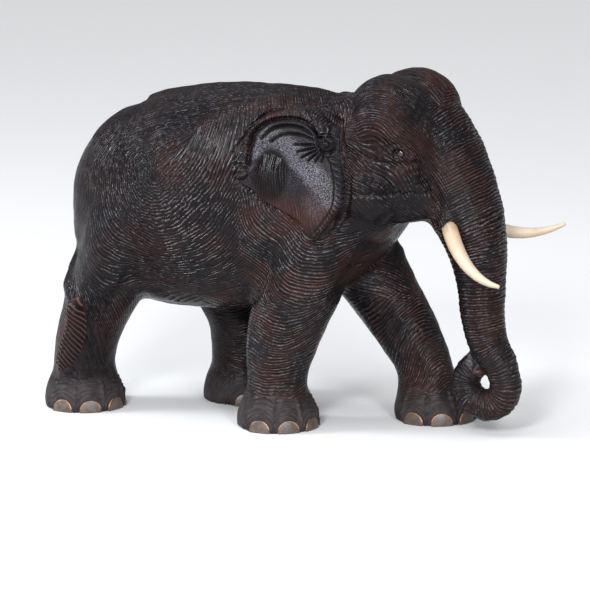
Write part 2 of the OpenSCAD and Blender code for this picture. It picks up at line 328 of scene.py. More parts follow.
def face_out(mesh: bpy.types.Mesh) -> None:
    """Turns every face outward.

    Args:
        mesh: The closed mesh to change.
    """
    bm = bmesh.new()
    bm.from_mesh(mesh)
    bmesh.ops.recalc_face_normals(bm, faces=bm.faces)
    bm.to_mesh(mesh)
    bm.free()


def remeshed(obj: bpy.types.Object, voxel: float) -> bpy.types.Mesh:
    """Closes an object's shells into one even skin.

    Args:
        obj: The object to read.
        voxel: Spacing of the skin's points in millimetres.

    Returns:
        The new mesh.
    """
    mod = obj.modifiers.new("skin", "REMESH")
    mod.mode = "VOXEL"
    mod.voxel_size = voxel * MM
    graph = bpy.context.evaluated_depsgraph_get()
    graph.update()
    mesh = bpy.data.meshes.new_from_object(obj.evaluated_get(graph))
    obj.modifiers.remove(mod)
    return mesh


def blank_object(name: str, meshes: Iterable[bpy.types.Mesh], seam: float | None = None) -> bpy.types.Object:
    """Joins copies of frame meshes into one rough blank.

    Args:
        name: Name of the new object.
        meshes: The frame's meshes.
        seam: Place of a glued face, in millimetres along the body, whose two walls are taken away.

    Returns:
        The blank, linked to the scene.
    """
    bm = bmesh.new()
    for mesh in meshes:
        bm.from_mesh(mesh)
    bmesh.ops.remove_doubles(bm, verts=bm.verts, dist=2e-6)
    if seam is not None:
        inner = [f for f in bm.faces if all(abs(v.co.x / MM - seam) < 0.05 for v in f.verts)]
        bmesh.ops.delete(bm, geom=inner, context="FACES")
        bmesh.ops.remove_doubles(bm, verts=bm.verts, dist=2e-5)
    return placed(name, mesh_from(bm, name))


def add_vectors(mesh: bpy.types.Mesh, name: str, values: Array) -> None:
    """Stores a vector at each point of a mesh under the name of an attribute."""
    layer = mesh.attributes.new(name, "FLOAT_VECTOR", "POINT")
    layer.data.foreach_set("vector", np.ascontiguousarray(values, dtype=np.float32).ravel())


def add_flows(mesh: bpy.types.Mesh, count: int, flows: Sequence[Sequence[Array]] = ()) -> None:
    """Stores the gouge lines of a piece, one attribute for each family of lines.

    Args:
        mesh: The mesh to write.
        count: Number of its points.
        flows: For each family, distance along a line, number of the line, and strength. The rest stay blank.
    """
    blank = [np.zeros(count)] * 3
    for i, name in enumerate(FLOWS):
        add_vectors(mesh, name, np.stack(flows[i] if i < len(flows) else blank, 1))


def finish_piece(obj: bpy.types.Object, material: bpy.types.Material, slot: str, node: str) -> None:
    """Gives a piece its finish and its place in the frame.

    Args:
        obj: The piece.
        material: Its material.
        slot: The record's material slot; not used.
        node: The frame node that it stands for.
    """
    obj.data.materials.clear()
    obj.data.materials.append(material)
    obj.data.polygons.foreach_set("use_smooth", [True] * len(obj.data.polygons))
    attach(obj, "root")
    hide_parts(node)
    LOG.info("%s: %d faces", obj.name, len(obj.data.polygons))


# ---------------------------------------------------------------- finishes


class Nodes:
    """Short ways to add shader nodes to one tree."""

    def __init__(self, tree: bpy.types.NodeTree) -> None:
        """Keeps the node tree to build in."""
        self.tree = tree

    @classmethod
    def material(
        cls, name: str
    ) -> tuple[bpy.types.Material, Nodes, bpy.types.Node, Socket, Sequence[Socket]]:
        """Starts a material.

        Args:
            name: The material's name.

        Returns:
            The material, its tree, its shader, the object coordinates and the piece's own three tone values.
        """
        mat = bpy.data.materials.new(name)
        mat.use_nodes = True
        n = cls(mat.node_tree)
        place = n.add("ShaderNodeTexCoord").outputs["Object"]
        return mat, n, mat.node_tree.nodes["Principled BSDF"], place, n.values("tone")

    def values(self, attribute: str) -> Sequence[Socket]:
        """Reads the three values that a piece keeps in an attribute."""
        return self.split(self.add("ShaderNodeAttribute", attribute_name=attribute).outputs["Vector"])

    def bump(self, height: object, bsdf: bpy.types.Node) -> None:
        """Feeds a height in millimetres to the shader's normal.

        Args:
            height: Height socket.
            bsdf: The shader.
        """
        node = self.add("ShaderNodeBump")
        node.inputs["Distance"].default_value = MM
        node.inputs["Strength"].default_value = 1.0
        self.link(height, node.inputs["Height"])
        self.link(node.outputs[0], bsdf.inputs["Normal"])

    def add(self, kind: str, **settings: object) -> bpy.types.Node:
        """Adds a node.

        Args:
            kind: The node's type name.
            settings: Properties to set on it.

        Returns:
            The node.
        """
        node = self.tree.nodes.new(kind)
        for key, value in settings.items():
            setattr(node, key, value)
        return node

    def link(self, source: object, target: object) -> None:
        """Joins or sets a socket.

        Args:
            source: An output socket, or a plain value.
            target: The input socket.
        """
        if isinstance(source, Socket):
            self.tree.links.new(source, target)
        else:
            target.default_value = source

    def math(self, kind: str, a: object, b: object = 0.0, c: object = 0.0) -> Socket:
        """Adds a Math node.

        Args:
            kind: The operation.
            a: First value or socket.
            b: Second value or socket.
            c: Third value or socket.

        Returns:
            The result's socket.
        """
        node = self.add("ShaderNodeMath", operation=kind)
        for i, value in enumerate((a, b, c)):
            self.link(value, node.inputs[i])
        return node.outputs[0]

    def step(self, value: object, low: float, high: float, to: Point = (0.0, 1.0)) -> Socket:
        """Adds a smooth Map Range.

        Args:
            value: Value or socket to map.
            low: Input where the result starts to change.
            high: Input where it stops.
            to: Results at low and high.

        Returns:
            The result's socket.
        """
        node = self.add("ShaderNodeMapRange", interpolation_type="SMOOTHSTEP")
        keys = ("Value", "From Min", "From Max", "To Min", "To Max")
        for key, item in zip(keys, (value, low, high, *to)):
            self.link(item, node.inputs[key])
        return node.outputs["Result"]

    def noise(self, vector: object, scale: float, detail: float = 2.0, rough: float = 0.5) -> Socket:
        """Adds a Noise texture.

        Args:
            vector: Coordinate socket.
            scale: Noise scale.
            detail: Noise detail.
            rough: Noise roughness.

        Returns:
            The factor's socket.
        """
        node = self.add("ShaderNodeTexNoise")
        for key, item in (("Vector", vector), ("Scale", scale), ("Detail", detail), ("Roughness", rough)):
            self.link(item, node.inputs[key])
        return node.outputs[0]

    def join(self, x: object, y: object, z: object) -> Socket:
        """Makes a vector of three values.

        Args:
            x: First value or socket.
            y: Second value or socket.
            z: Third value or socket.

        Returns:
            The vector's socket.
        """
        node = self.add("ShaderNodeCombineXYZ")
        for i, value in enumerate((x, y, z)):
            self.link(value, node.inputs[i])
        return node.outputs[0]

    def split(self, vector: object) -> Sequence[Socket]:
        """Takes a vector apart into its three sockets."""
        node = self.add("ShaderNodeSeparateXYZ")
        self.link(vector, node.inputs[0])
        return node.outputs

    def mix(self, factor: object, a: object, b: object) -> Socket:
        """Mixes two colours.

        Args:
            factor: Share of the second colour.
            a: First colour or socket.
            b: Second colour or socket.

        Returns:
            The mixed colour's socket.
        """
        node = self.add("ShaderNodeMix", data_type="RGBA")
        for i, item in ((0, factor), (6, a), (7, b)):
            self.link(item, node.inputs[i])
        return node.outputs[2]


def gouge_group() -> bpy.types.NodeTree:
    """Node group that cuts gouge lines along a flow.

    Its input holds, for each point, the distance along a line, the number of the line across, and the
    strength of the cut.

    Returns:
        The node group, with a height in millimetres and a mask of the ridges left between cuts.
    """
    tree = bpy.data.node_groups.new("gouge_lines", "ShaderNodeTree")
    tree.interface.new_socket("Flow", in_out="INPUT", socket_type="NodeSocketVector")
    tree.interface.new_socket("Shift", in_out="INPUT", socket_type="NodeSocketFloat")
    tree.interface.new_socket("Height", in_out="OUTPUT", socket_type="NodeSocketFloat")
    tree.interface.new_socket("Ridge", in_out="OUTPUT", socket_type="NodeSocketFloat")
    n = Nodes(tree)
    inside = n.add("NodeGroupInput")
    outside = n.add("NodeGroupOutput")
    along, across, weight = n.split(inside.outputs["Flow"])
    shift = inside.outputs["Shift"]
    # Lines wander a little, and run into each other here and there
    drift = n.join(n.math("MULTIPLY", along, 0.055), n.math("MULTIPLY", across, 0.22), shift)
    wander = n.noise(drift, 1.0, 2.0, 0.55)
    line = n.math("ADD", across, n.math("MULTIPLY", n.math("SUBTRACT", wander, 0.5), 1.7))
    number = n.math("FLOOR", line)
    part = n.math("FRACT", line)
    # Each cut starts and stops by itself
    pace, row = n.math("MULTIPLY", along, 0.085), n.math("MULTIPLY", number, 0.73)
    stroke = n.noise(n.join(pace, row, n.math("ADD", shift, 7.0)), 1.0, 1.5)
    depth = n.step(stroke, 0.36, 0.60, (0.25, 1.0))
    edge = n.math("ABSOLUTE", n.math("SUBTRACT", n.math("MULTIPLY", part, 2.0), 1.0))
    valley = n.math("SUBTRACT", 1.0, edge)
    cut = n.math("MULTIPLY", n.math("SUBTRACT", 1.0, n.math("POWER", edge, 1.8)), depth)
    n.link(n.math("MULTIPLY", n.math("MULTIPLY", cut, -1.0), weight), outside.inputs["Height"])
    crest = n.math("MULTIPLY", n.step(valley, 0.45, 0.0), depth)
    n.link(n.math("MULTIPLY", crest, weight), outside.inputs["Ridge"])
    return tree


@dataclass(frozen=True)
class CarvedWood:
    """Near-black lacquer over gouged wood, worn to red-brown on the ridges, with painted highlights on the
    ridges and painted shade in the cuts and hollows.
    """

    name: str = "carved_wood"
    lacquer: Colour = (0.0048, 0.0038, 0.0048, 1.0)
    # Near-black used for painted shade in the cuts and hollows
    painted_shade: Colour = (0.0022, 0.0018, 0.0022, 1.0)
    worn: Colour = (0.085, 0.025, 0.013, 1.0)
    dusty: Colour = (0.036, 0.029, 0.029, 1.0)
    gouge_depth: float = 0.72
    specular: float = 0.12
    # Light bluish-grey used for the painted highlights and painted sheen
    highlight_colour: Colour = (0.150, 0.148, 0.172, 1.0)
    bare: Colour = (0.120, 0.050, 0.036, 1.0)

    def material(self, gouges: bpy.types.NodeTree) -> bpy.types.Material:
        """Builds the material.

        Args:
            gouges: The shared gouge line group.

        Returns:
            The material.
        """
        mat, n, bsdf, place, (wear, dust, shaded_hollow) = Nodes.material(self.name)
        height: object = 0.0
        ridge: object = 0.0
        for i, layer in enumerate(FLOWS):
            flow = n.add("ShaderNodeAttribute", attribute_name=layer)
            cut = n.add("ShaderNodeGroup", node_tree=gouges)
            n.link(flow.outputs["Vector"], cut.inputs["Flow"])
            cut.inputs["Shift"].default_value = 3.7 * i
            height = n.math("ADD", height, cut.outputs["Height"])
            ridge = n.math("ADD", ridge, cut.outputs["Ridge"])
        satin = n.values("satin")[0]
        patch = n.noise(place, 38.0, 3.0, 0.6)
        speck = n.noise(place, 900.0, 2.0, 0.6)
        stipple = n.noise(place, 1250.0, 2.0, 0.6)
        rubbed = n.math("MULTIPLY", n.step(patch, 0.38, 0.66), n.math("MULTIPLY", ridge, wear))
        blotch = n.step(n.noise(place, 21.0, 2.0), 0.45, 0.75)
        stain = n.math("MULTIPLY", blotch, n.math("MULTIPLY", wear, 0.20))
        red = n.math("MINIMUM", n.math("ADD", n.math("MULTIPLY", rubbed, 1.5), stain), 1.0)
        colour = n.mix(red, self.lacquer, self.worn)
        # Painted highlight: thin bright dashes along the ridges between cuts, in patches, standing in for
        # glints
        highlight_dashes = n.step(n.noise(place, 330.0, 2.0, 0.55), 0.50, 0.62)
        highlight_zones = n.step(n.noise(place, 24.0, 2.0), 0.36, 0.62, (0.15, 0.75))
        crest_highlight = n.math("MULTIPLY", n.math("MULTIPLY", ridge, highlight_dashes), highlight_zones)
        colour = n.mix(crest_highlight, colour, self.highlight_colour)
        bare = n.step(wear, 1.4, 1.9, (0.0, 0.9))
        colour = n.mix(bare, colour, self.bare)
        # Painted shade: the deepest parts of the gouge cuts and the shaded hollows are darkened toward
        # near-black
        low = n.math("MULTIPLY", n.step(height, -0.25, -0.85), 0.75)
        colour = n.mix(n.math("MAXIMUM", low, shaded_hollow), colour, self.painted_shade)
        # Painted sheen: satin patches lightened toward the highlight colour in a stipple (the same value also
        # roughens the bump)
        sheen_paint = n.math("MULTIPLY", satin, n.step(stipple, 0.44, 0.62, (0.05, 0.75)))
        colour = n.mix(sheen_paint, colour, self.highlight_colour)
        powder = n.step(n.noise(place, 160.0, 3.0, 0.6), 0.25, 0.7, (0.45, 1.0))
        grey = n.math("MULTIPLY", dust, powder)
        colour = n.mix(grey, colour, self.dusty)
        n.link(colour, bsdf.inputs["Base Color"])
        gloss = n.step(n.noise(place, 55.0, 3.0), 0.3, 0.7, (0.20, 0.32))
        rough = n.math("ADD", gloss, n.math("MULTIPLY", dust, 0.30))
        n.link(n.math("ADD", rough, n.math("MULTIPLY", speck, 0.08)), bsdf.inputs["Roughness"])
        bsdf.inputs["Specular IOR Level"].default_value = self.specular
        punched = n.math("MULTIPLY", n.math("SUBTRACT", stipple, 0.5), n.math("MULTIPLY", satin, 0.6))
        grain = n.math("ADD", n.math("MULTIPLY", n.math("SUBTRACT", speck, 0.5), 0.13), punched)
        n.bump(n.math("ADD", n.math("MULTIPLY", height, self.gouge_depth), grain), bsdf)
        return mat


@dataclass(frozen=True)
class Tusk:
    """Pale ivory-coloured finish, warmer and duller toward the root."""

    name: str = "tusk"
    pale: Colour = (0.37, 0.295, 0.22, 1.0)
    warm: Colour = (0.34, 0.235, 0.145, 1.0)
    grime: Colour = (0.16, 0.10, 0.06, 1.0)

    def material(self) -> bpy.types.Material:
        """Builds the material.

        Returns:
            The material.
        """
        mat, n, bsdf, place, (root, _, _) = Nodes.material(self.name)
        cloud = n.noise(place, 70.0, 3.0, 0.6)
        warm = n.math("MAXIMUM", n.math("MULTIPLY", root, 0.75), n.step(cloud, 0.50, 0.80, (0.0, 0.55)))
        colour = n.mix(warm, self.pale, self.warm)
        streak = n.add("ShaderNodeMapping")
        streak.inputs["Scale"].default_value = (260.0, 700.0, 260.0)
        n.link(place, streak.inputs["Vector"])
        mark = n.step(n.noise(streak.outputs[0], 1.0, 3.0, 0.65), 0.66, 0.76, (0.0, 0.5))
        mouth = n.step(root, 0.86, 1.0, (0.0, 0.6))
        dirt = n.math("MAXIMUM", n.math("MULTIPLY", mark, n.step(cloud, 0.4, 0.7)), mouth)
        n.link(n.mix(dirt, colour, self.grime), bsdf.inputs["Base Color"])
        n.link(n.step(cloud, 0.3, 0.7, (0.40, 0.54)), bsdf.inputs["Roughness"])
        bsdf.inputs["Subsurface Weight"].default_value = 0.12
        bsdf.inputs["Subsurface Radius"].default_value = (0.004, 0.003, 0.002)
        n.bump(n.math("MULTIPLY", n.noise(streak.outputs[0], 1.0, 2.0), 0.06), bsdf)
        return mat


@dataclass(frozen=True)
class Toenail:
    """Brown set-in toenail with a bright worn edge along its arch."""

    name: str = "toenail"
    brown: Colour = (0.050, 0.034, 0.026, 1.0)
    grey: Colour = (0.074, 0.054, 0.045, 1.0)
    edge: Colour = (0.26, 0.115, 0.045, 1.0)

    def material(self) -> bpy.types.Material:
        """Builds the material.

        Returns:
            The material.
        """
        mat, n, bsdf, place, (rim, across, _) = Nodes.material(self.name)
        cloud = n.noise(place, 260.0, 3.0, 0.6)
        colour = n.mix(n.step(cloud, 0.35, 0.65), self.brown, self.grey)
        scratch = n.noise(n.join(across, 0.0, n.split(place)[2]), 900.0, 2.0)
        colour = n.mix(n.step(scratch, 0.62, 0.72, (0.0, 0.45)), colour, self.edge)
        rough_edge = n.math("ADD", rim, n.math("MULTIPLY", n.math("SUBTRACT", cloud, 0.5), 0.5))
        n.link(n.mix(n.step(rough_edge, 0.62, 0.9), colour, self.edge), bsdf.inputs["Base Color"])
        n.link(n.step(cloud, 0.3, 0.7, (0.34, 0.5)), bsdf.inputs["Roughness"])
        n.bump(n.math("MULTIPLY", scratch, 0.10), bsdf)
        return mat


@dataclass(frozen=True)
class EyeBead:
    """Polished dark bead with a faint brown ring."""

    name: str = "eye"
    pupil: Colour = (0.004, 0.004, 0.004, 1.0)
    dark: Colour = (0.030, 0.015, 0.009, 1.0)
    light: Colour = (0.10, 0.045, 0.022, 1.0)

    def material(self) -> bpy.types.Material:
        """Builds the material.

        Returns:
            The material.
        """
        mat, n, bsdf, place, (ring, _, _) = Nodes.material(self.name)
        iris = n.mix(n.step(n.noise(place, 1400.0, 2.0), 0.35, 0.7), self.dark, self.light)
        n.link(n.mix(n.step(ring, 0.42, 0.55), self.pupil, iris), bsdf.inputs["Base Color"])
        n.link(n.step(ring, 0.6, 1.0, (0.16, 0.30)), bsdf.inputs["Roughness"])
        bsdf.inputs["Coat Weight"].default_value = 0.6
        bsdf.inputs["Coat Roughness"].default_value = 0.12
        return mat


# ---------------------------------------------------------------- the carved body


@dataclass
class EarBed:
    """The plain side of the body where an ear lies, found from the wood round it."""

    middle: Point = (21.0, 190.0)
    outline: tuple[Point, ...] = (
        (57, 221), (49, 228), (38, 234.5), (26, 236), (13, 233.5), (-1, 227.5), (-11, 218), (-17.5, 204),
        (-17.5, 190), (-15, 182), (-7, 178), (5, 169), (18, 163), (30, 156), (40, 142), (48, 150), (57, 162),
        (62, 174), (63, 188), (60, 204),
    )
    core: float = 50.0
    shape: Array = field(default_factory=lambda: np.zeros(0))

    def terms(self, x: Array, z: Array) -> Array:
        """Powers of the place on the side of the body, from which the fit is made."""
        a, b = (x - 20.0) / 50.0, (z - 185.0) / 55.0
        return np.stack([a**i * b**j for i in range(5) for j in range(5 - i)], 1)

    def reach(self, turn: Array) -> Array:
        """Distance from the ear's middle to its edge.

        Args:
            turn: Directions in radians, seen from the right side.

        Returns:
            Distances.
        """
        edge = curve_points(self.outline, 10, closed=True) - np.array(self.middle)
        angle = np.arctan2(edge[:, 1], edge[:, 0])
        order = np.argsort(angle)
        return np.interp(turn, angle[order], np.hypot(edge[:, 0], edge[:, 1])[order], period=TAU)

    def spread(self, x: Array, z: Array) -> Array:
        """Distance from the ear's middle, counted so that it is 1 at the edge."""
        dx, dz = x - self.middle[0], z - self.middle[1]
        return np.hypot(dx, dz) / self.reach(np.arctan2(dz, dx))

    def fit(self, p: Array) -> None:
        """Finds the plain side from the points in a band round the ear.

        Args:
            p: Points of the skin.
        """
        x, s, z = p[:, 0], np.abs(p[:, 1]), p[:, 2]
        near = (x > -44) & (x < 84) & (z > 112) & (z < 252) & (self.spread(x, z) > 1.12)
        columns = np.round(x / 4) * 1000 + np.round(z / 4)
        keep: list[int] = []
        for side in (-1, 1):
            some = np.flatnonzero(near & (p[:, 1] * side > 12))
            order = some[np.lexsort((-s[some], columns[some]))]
            _, first = np.unique(columns[order], return_index=True)
            keep.extend(order[first])
        rows = np.array(keep)
        self.shape, *_ = np.linalg.lstsq(self.terms(x[rows], z[rows]), s[rows], rcond=None)

    def depth(self, x: Array, z: Array) -> Array:
        """Distance of the plain side from the middle plane."""
        return np.clip(self.terms(x, z) @ self.shape, 20.0, 63.0)

    def flatten(self, p: Array) -> Array:
        """Planes the patch under the ear down to the plain side.

        Args:
            p: Points of the skin.

        Returns:
            The planed points.
        """
        x, s, z = p[:, 0], np.abs(p[:, 1]), p[:, 2]
        spread = self.spread(x, z)
        top = np.maximum(self.depth(x, z), self.core * (1 - rise(0.86, 0.93, spread)))
        share = (1 - rise(1.05, 1.13, spread)) * (s > 34)
        planed = np.where(s > top, s + (np.maximum(top, s - 10.0) - s) * share, s)
        planed -= 1.7 * fall(0.075, np.abs(spread - 1.06)) * (s > 34)
        out = p.copy()
        out[:, 1] = np.sign(p[:, 1]) * planed
        return out


class Side(Enum):
    """Which side of the elephant."""

    RIGHT = -1
    LEFT = 1


@dataclass(frozen=True)
class Foot:
    """One foot: its middle, the angle of its first toenail from straight ahead, and its toenail count."""

    name: str
    x: float
    y: float
    first: float
    nails: int


@dataclass(frozen=True)
class Groove:
    """A cut along a curve seen from the side."""

    path: tuple[Point, ...]
    width: float
    depth: float
    out: float = 0.0


@dataclass(frozen=True)
class Swelling:
    """A raised or hollowed patch seen from the side."""

    at: Point
    reach: Point
    height: float
    out: float = 0.0


@dataclass
class CarvedBody:
    """The two glued blocks: rump, barrel, shoulders, legs, neck, head and trunk."""

    nodes: dict[str, bpy.types.Object]
    rough_voxel: float = 2.6
    fine_voxel: float = 1.38
    sole: float = 30.0
    nail_reach: float = 8.3
    nail_pitch: float = 42.0
    nail_base: float = 1.2
    nail_plan: tuple[tuple[str, float, int], ...] = (
        ("hind_right", -95, 4), ("hind_left", -60, 4), ("front_right", -91, 5), ("front_left", -99, 5),
    )
    seam: float = 0.0
    sweep: tuple[Point, ...] = ((-82, 181), (-65, 203), (-50, 228), (-44, 252))
    pitch: float = 2.4
    fine_pitch: float = 2.2
    shoulder_eye: Point = (70.0, 195.0)
    withers: Point = (10.0, 40.0)
    nape: Point = (62.0, 116.0)
    eye: Point = (100.7, 207.0)
    trunk_path: tuple[Point, ...] = (
        (74, 274), (85, 252), (96, 232), (108, 211), (120, 188), (132, 164), (141, 142), (146, 112),
        (148, 86), (152, 66), (162, 51),
    )
    feet: list[Foot] = field(default_factory=list)
    blocks: dict[str, bpy.types.Object] = field(default_factory=dict)
    plain: Array = field(default_factory=lambda: np.zeros((0, 3)))
    trunk_line: Array = field(default_factory=lambda: np.zeros((0, 3)))
    bed: EarBed = field(default_factory=EarBed)
    grooves: tuple[Groove, ...] = (
        Groove(((113, 199), (118, 189), (123, 178), (124, 166), (122, 158)), 5.5, 2.6, 20),
        Groove(((58, 181), (72, 177), (90, 176), (106, 177), (119, 178)), 2.6, 1.5, 26),
        Groove(((58, 226), (60, 210), (62, 195), (61, 178), (59, 162)), 8.0, 2.0, 30),
        Groove(((56, 213), (70, 206), (84, 201), (98, 198), (111, 200)), 3.4, 2.0, 22),
        Groove(((102, 195), (109, 193.5), (116, 194.5)), 2.0, 1.2, 22),
        Groove(((103, 190.5), (110, 189), (117, 190)), 2.0, 1.2, 22),
        Groove(((104, 186), (111, 184.5), (118, 185.5)), 2.0, 1.1, 22),
        Groove(((106, 181.8), (112, 180.6), (118, 181.4)), 1.8, 0.9, 22),
        Groove(((-128, 84), (-118, 92), (-110, 104), (-106, 120)), 7.0, 2.2, 30),
        Groove(((-104, 76), (-96, 80), (-84, 80), (-70, 79)), 4.0, 1.0, 20),
        Groove(((-10, 94), (-4, 104), (2, 118), (6, 136)), 6.0, 1.8, 30),
        Groove(((52, 96), (56, 108), (62, 122), (70, 136)), 6.0, 1.8, 20),
    )
    swellings: tuple[Swelling, ...] = (
        Swelling((84, 213), (13, 12), -2.6, 26),
        Swelling((103, 220), (13, 7), 1.8, 24),
        Swelling((96, 190), (18, 9), 1.6, 26),
        Swelling((92, 165), (28, 9), 1.4, 10),
        Swelling((-112, 205), (8, 26), 2.6, 24),
        Swelling((-92, 196), (10, 22), -1.6, 34),
        Swelling((-126, 120), (34, 38), 2.0, 34),
        Swelling((-90, 108), (18, 26), -2.0, 36),
        Swelling((6, 150), (22, 34), 1.6, 40),
        Swelling((40, 132), (14, 26), 1.4, 34),
        Swelling((-108, 94), (9, 8), 1.6, 36),
    )

    def build(self, wood: bpy.types.Material) -> None:
        """Makes the two finished blocks.

        Args:
            wood: The carved wood material.
        """
        self.find_feet()
        self.seam = float(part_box("rear_block")[1][0] / MM)
        nails = [name for name in self.nodes if name.startswith("nail_")]
        names = ["rear_block", "front_block", *nails, "eye_right", "eye_left"]
        rough = blank_object("rough", [self.nodes[name].data for name in names], self.seam)
        mesh = remeshed(rough, self.rough_voxel)
        skin = Skin.of(mesh)
        skin.soften(26, self.softness(skin.points))
        skin.soften(3, 0.8)
        skin.write(mesh)
        rough.data = mesh
        fine = remeshed(rough, self.fine_voxel)
        bpy.data.objects.remove(rough)
        skin = Skin.of(fine)
        skin.soften(4, 0.9)
        self.carve(skin, fine)
        self.mark(skin, fine)
        self.split(fine, wood)

    def find_feet(self) -> None:
        """Finds each foot's middle from its toenails' boxes."""
        for name, first, count in self.nail_plan:
            mids = np.array([middle_of(f"nail_{name}_{i + 1}")[:2] for i in range(count)])
            angles = np.radians(first + self.nail_pitch * np.arange(count))
            # A nail's middle lies just inside the sole's edge
            x, y = np.mean(mids - (self.sole - 1.2) * np.stack([np.cos(angles), np.sin(angles)], 1), axis=0)
            self.feet.append(Foot(name, float(x), float(y), first, count))

    def softness(self, p: Array) -> Array:
        """How much each part of the blank is rounded off.

        Args:
            p: Points of the blank.

        Returns:
            Shares from 0 to 1.
        """
        low = rise(24, 34, p[:, 2])
        trunk = 1.0 - 0.75 * rise(118, 128, p[:, 0]) * (1 - rise(196, 210, p[:, 2]))
        return np.clip(low * trunk + 0.15, 0.0, 1.0)

    def carve(self, skin: Skin, mesh: bpy.types.Mesh) -> None:
        """Works the large forms into the skin.

        Args:
            skin: The skin's arrays.
            mesh: The mesh that the skin belongs to.
        """
        skin.write(mesh)
        normal = normals_of(mesh)
        self.plain = skin.points.copy()
        p = skin.points
        x, out, z = p[:, 0], np.abs(p[:, 1]), p[:, 2]
        push = np.zeros(len(p))
        for groove in self.grooves:
            gap, _ = nearest(p[:, [0, 2]], curve_points(groove.path, 8))
            push -= groove.depth * fall(groove.width, gap) * rise(groove.out - 4, groove.out + 2, out)
        for s in self.swellings:
            gap = np.hypot((x - s.at[0]) / s.reach[0], (z - s.at[1]) / s.reach[1])
            push += s.height * fall(1.0, gap) * rise(s.out - 6, s.out + 4, out)
        for move in (self.spine, self.eyelids, self.feet_relief, self.trunk_rings):
            push += move(p)
        push += 0.16 * ripple(p, 13.0) + 0.28 * ripple(p, 31.0, 2.0)
        skin.points = p + normal * push[:, None]
        self.bed.fit(skin.points)
        skin.points = self.bed.flatten(skin.points)
        floor = skin.points[:, 2] < 0.35
        skin.points[floor, 2] = 0.0
        skin.points[:, 2] = np.maximum(skin.points[:, 2], 0.0)

    def spine(self, p: Array) -> Array:
        """Ridge along the back that starts with a step behind the hips.

        Args:
            p: Points of the skin.

        Returns:
            Distance to push each point outward.
        """
        x, out, z = p[:, 0], np.abs(p[:, 1]), p[:, 2]
        top = rise(205, 222, z) * (1 - rise(20, 44, x))
        step = rise(-121, -116, x)
        ridge = 2.4 * fall(11.0, out) * step * top
        return ridge - 1.6 * fall(26.0, out) * rise(-140, -124, x) * (1 - step) * top

    def eyelids(self, p: Array) -> Array:
        """Rims and folds round both eyes.

        Args:
            p: Points of the skin.

        Returns:
            Distance to push each point outward.
        """
        x, z = p[:, 0] - self.eye[0], p[:, 2] - self.eye[1]
        gap = np.hypot(x, z * 1.15)
        here = rise(24, 30, np.abs(p[:, 1])) * (1 - rise(20, 26, gap))
        well = -1.5 * (1 - rise(3.4, 4.4, gap))
        lid = 1.5 * fall(2.2, np.abs(gap - 5.2))
        folds = ((-0.9, 1.6, 8.0), (0.5, 1.8, 10.2), (-0.5, 1.6, 12.6))
        fold = sum(height * fall(width, np.abs(gap - at)) for height, width, at in folds)
        return here * (well + lid + fold)

    def nearest_nail(self, p: Array) -> tuple[Array, Array]:
        """Where each low point is seen from the nearest toenail.

        Args:
            p: Points of the skin.

        Returns:
            Distances round the foot from the nail's middle, and from the ridge between two nails.
        """
        round_nail = np.full(len(p), 60.0)
        reach = np.full(len(p), 99.0)
        for foot in self.feet:
            dx, dy = p[:, 0] - foot.x, p[:, 1] - foot.y
            r = np.hypot(dx, dy)
            angle = np.degrees(np.arctan2(dy, dx))
            near = r < reach
            best = np.full(len(p), 180.0)
            for i in range(foot.nails):
                turn = (angle - foot.first - self.nail_pitch * i + 180.0) % 360.0 - 180.0
                best = np.where(np.abs(turn) < np.abs(best), turn, best)
            round_nail[near] = (np.radians(best) * self.sole)[near]
            reach[near] = r[near]
        half = math.radians(self.nail_pitch) * self.sole / 2
        return round_nail, np.abs(np.abs(round_nail) - half)

    def feet_relief(self, p: Array) -> Array:
        """Toe swellings, arched folds over the nails and ridges between them.

        Args:
            p: Points of the skin.

        Returns:
            Distance to push each point outward.
        """
        turn, ridge = self.nearest_nail(p)
        z = p[:, 2]
        gap = np.hypot(turn, z - self.nail_base)
        front = 1 - rise(14, 20, np.abs(turn))
        well = -1.7 * (1 - rise(self.nail_reach - 1.2, self.nail_reach + 0.1, gap))
        past = gap - self.nail_reach - 1.6
        lip = 0.9 * fall(1.8, np.abs(past))
        arcs = 0.55 * np.cos(past * TAU / 3.4) * rise(9.4, 11, gap) * (1 - rise(20, 26, gap))
        toe = 0.8 * fall(9.0, np.abs(turn)) * (1 - rise(10, 24, z))
        post = 1.3 * fall(2.4, ridge) * rise(2, 6, z) * (1 - rise(20, 27, z))
        post *= 1 - rise(11, 13.5, np.abs(turn))
        return (1 - rise(25, 32, z)) * (front * (well + lip + arcs + toe) + post)

    def trunk_rings(self, p: Array) -> Array:
        """Shallow rings along the trunk.

        Args:
            p: Points of the skin.

        Returns:
            Distance to push each point outward.
        """
        gap, along = self.trunk_place(p)
        wobble = ripple(p, 26.0, 5.0) * 1.2
        return self.on_trunk(p, gap) * 0.20 * np.cos((along + wobble) * TAU / 4.4)

    def trunk_place(self, p: Array) -> tuple[Array, Array]:
        """Distance of each point from the trunk's centre line, and how far down the trunk it is.

        Args:
            p: Points of the skin.

        Returns:
            Distances, and lengths from the forehead.
        """
        if not len(self.trunk_line):
            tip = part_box("front_block")[1][0] / MM - 28.0
            turns = [math.radians(a) for a in range(8, -246, -22)]
            loop = [(tip + 15.5 * math.cos(a), 37.0 + 15.5 * math.sin(a)) for a in turns]
            self.trunk_line = curve_points([*self.trunk_path, *loop], 6)
        gap = np.full(len(p), 99.0)
        along = np.zeros(len(p))
        near = p[:, 0] > 84
        gap[near], along[near] = nearest(p[near][:, [0, 2]], self.trunk_line)
        return gap, along

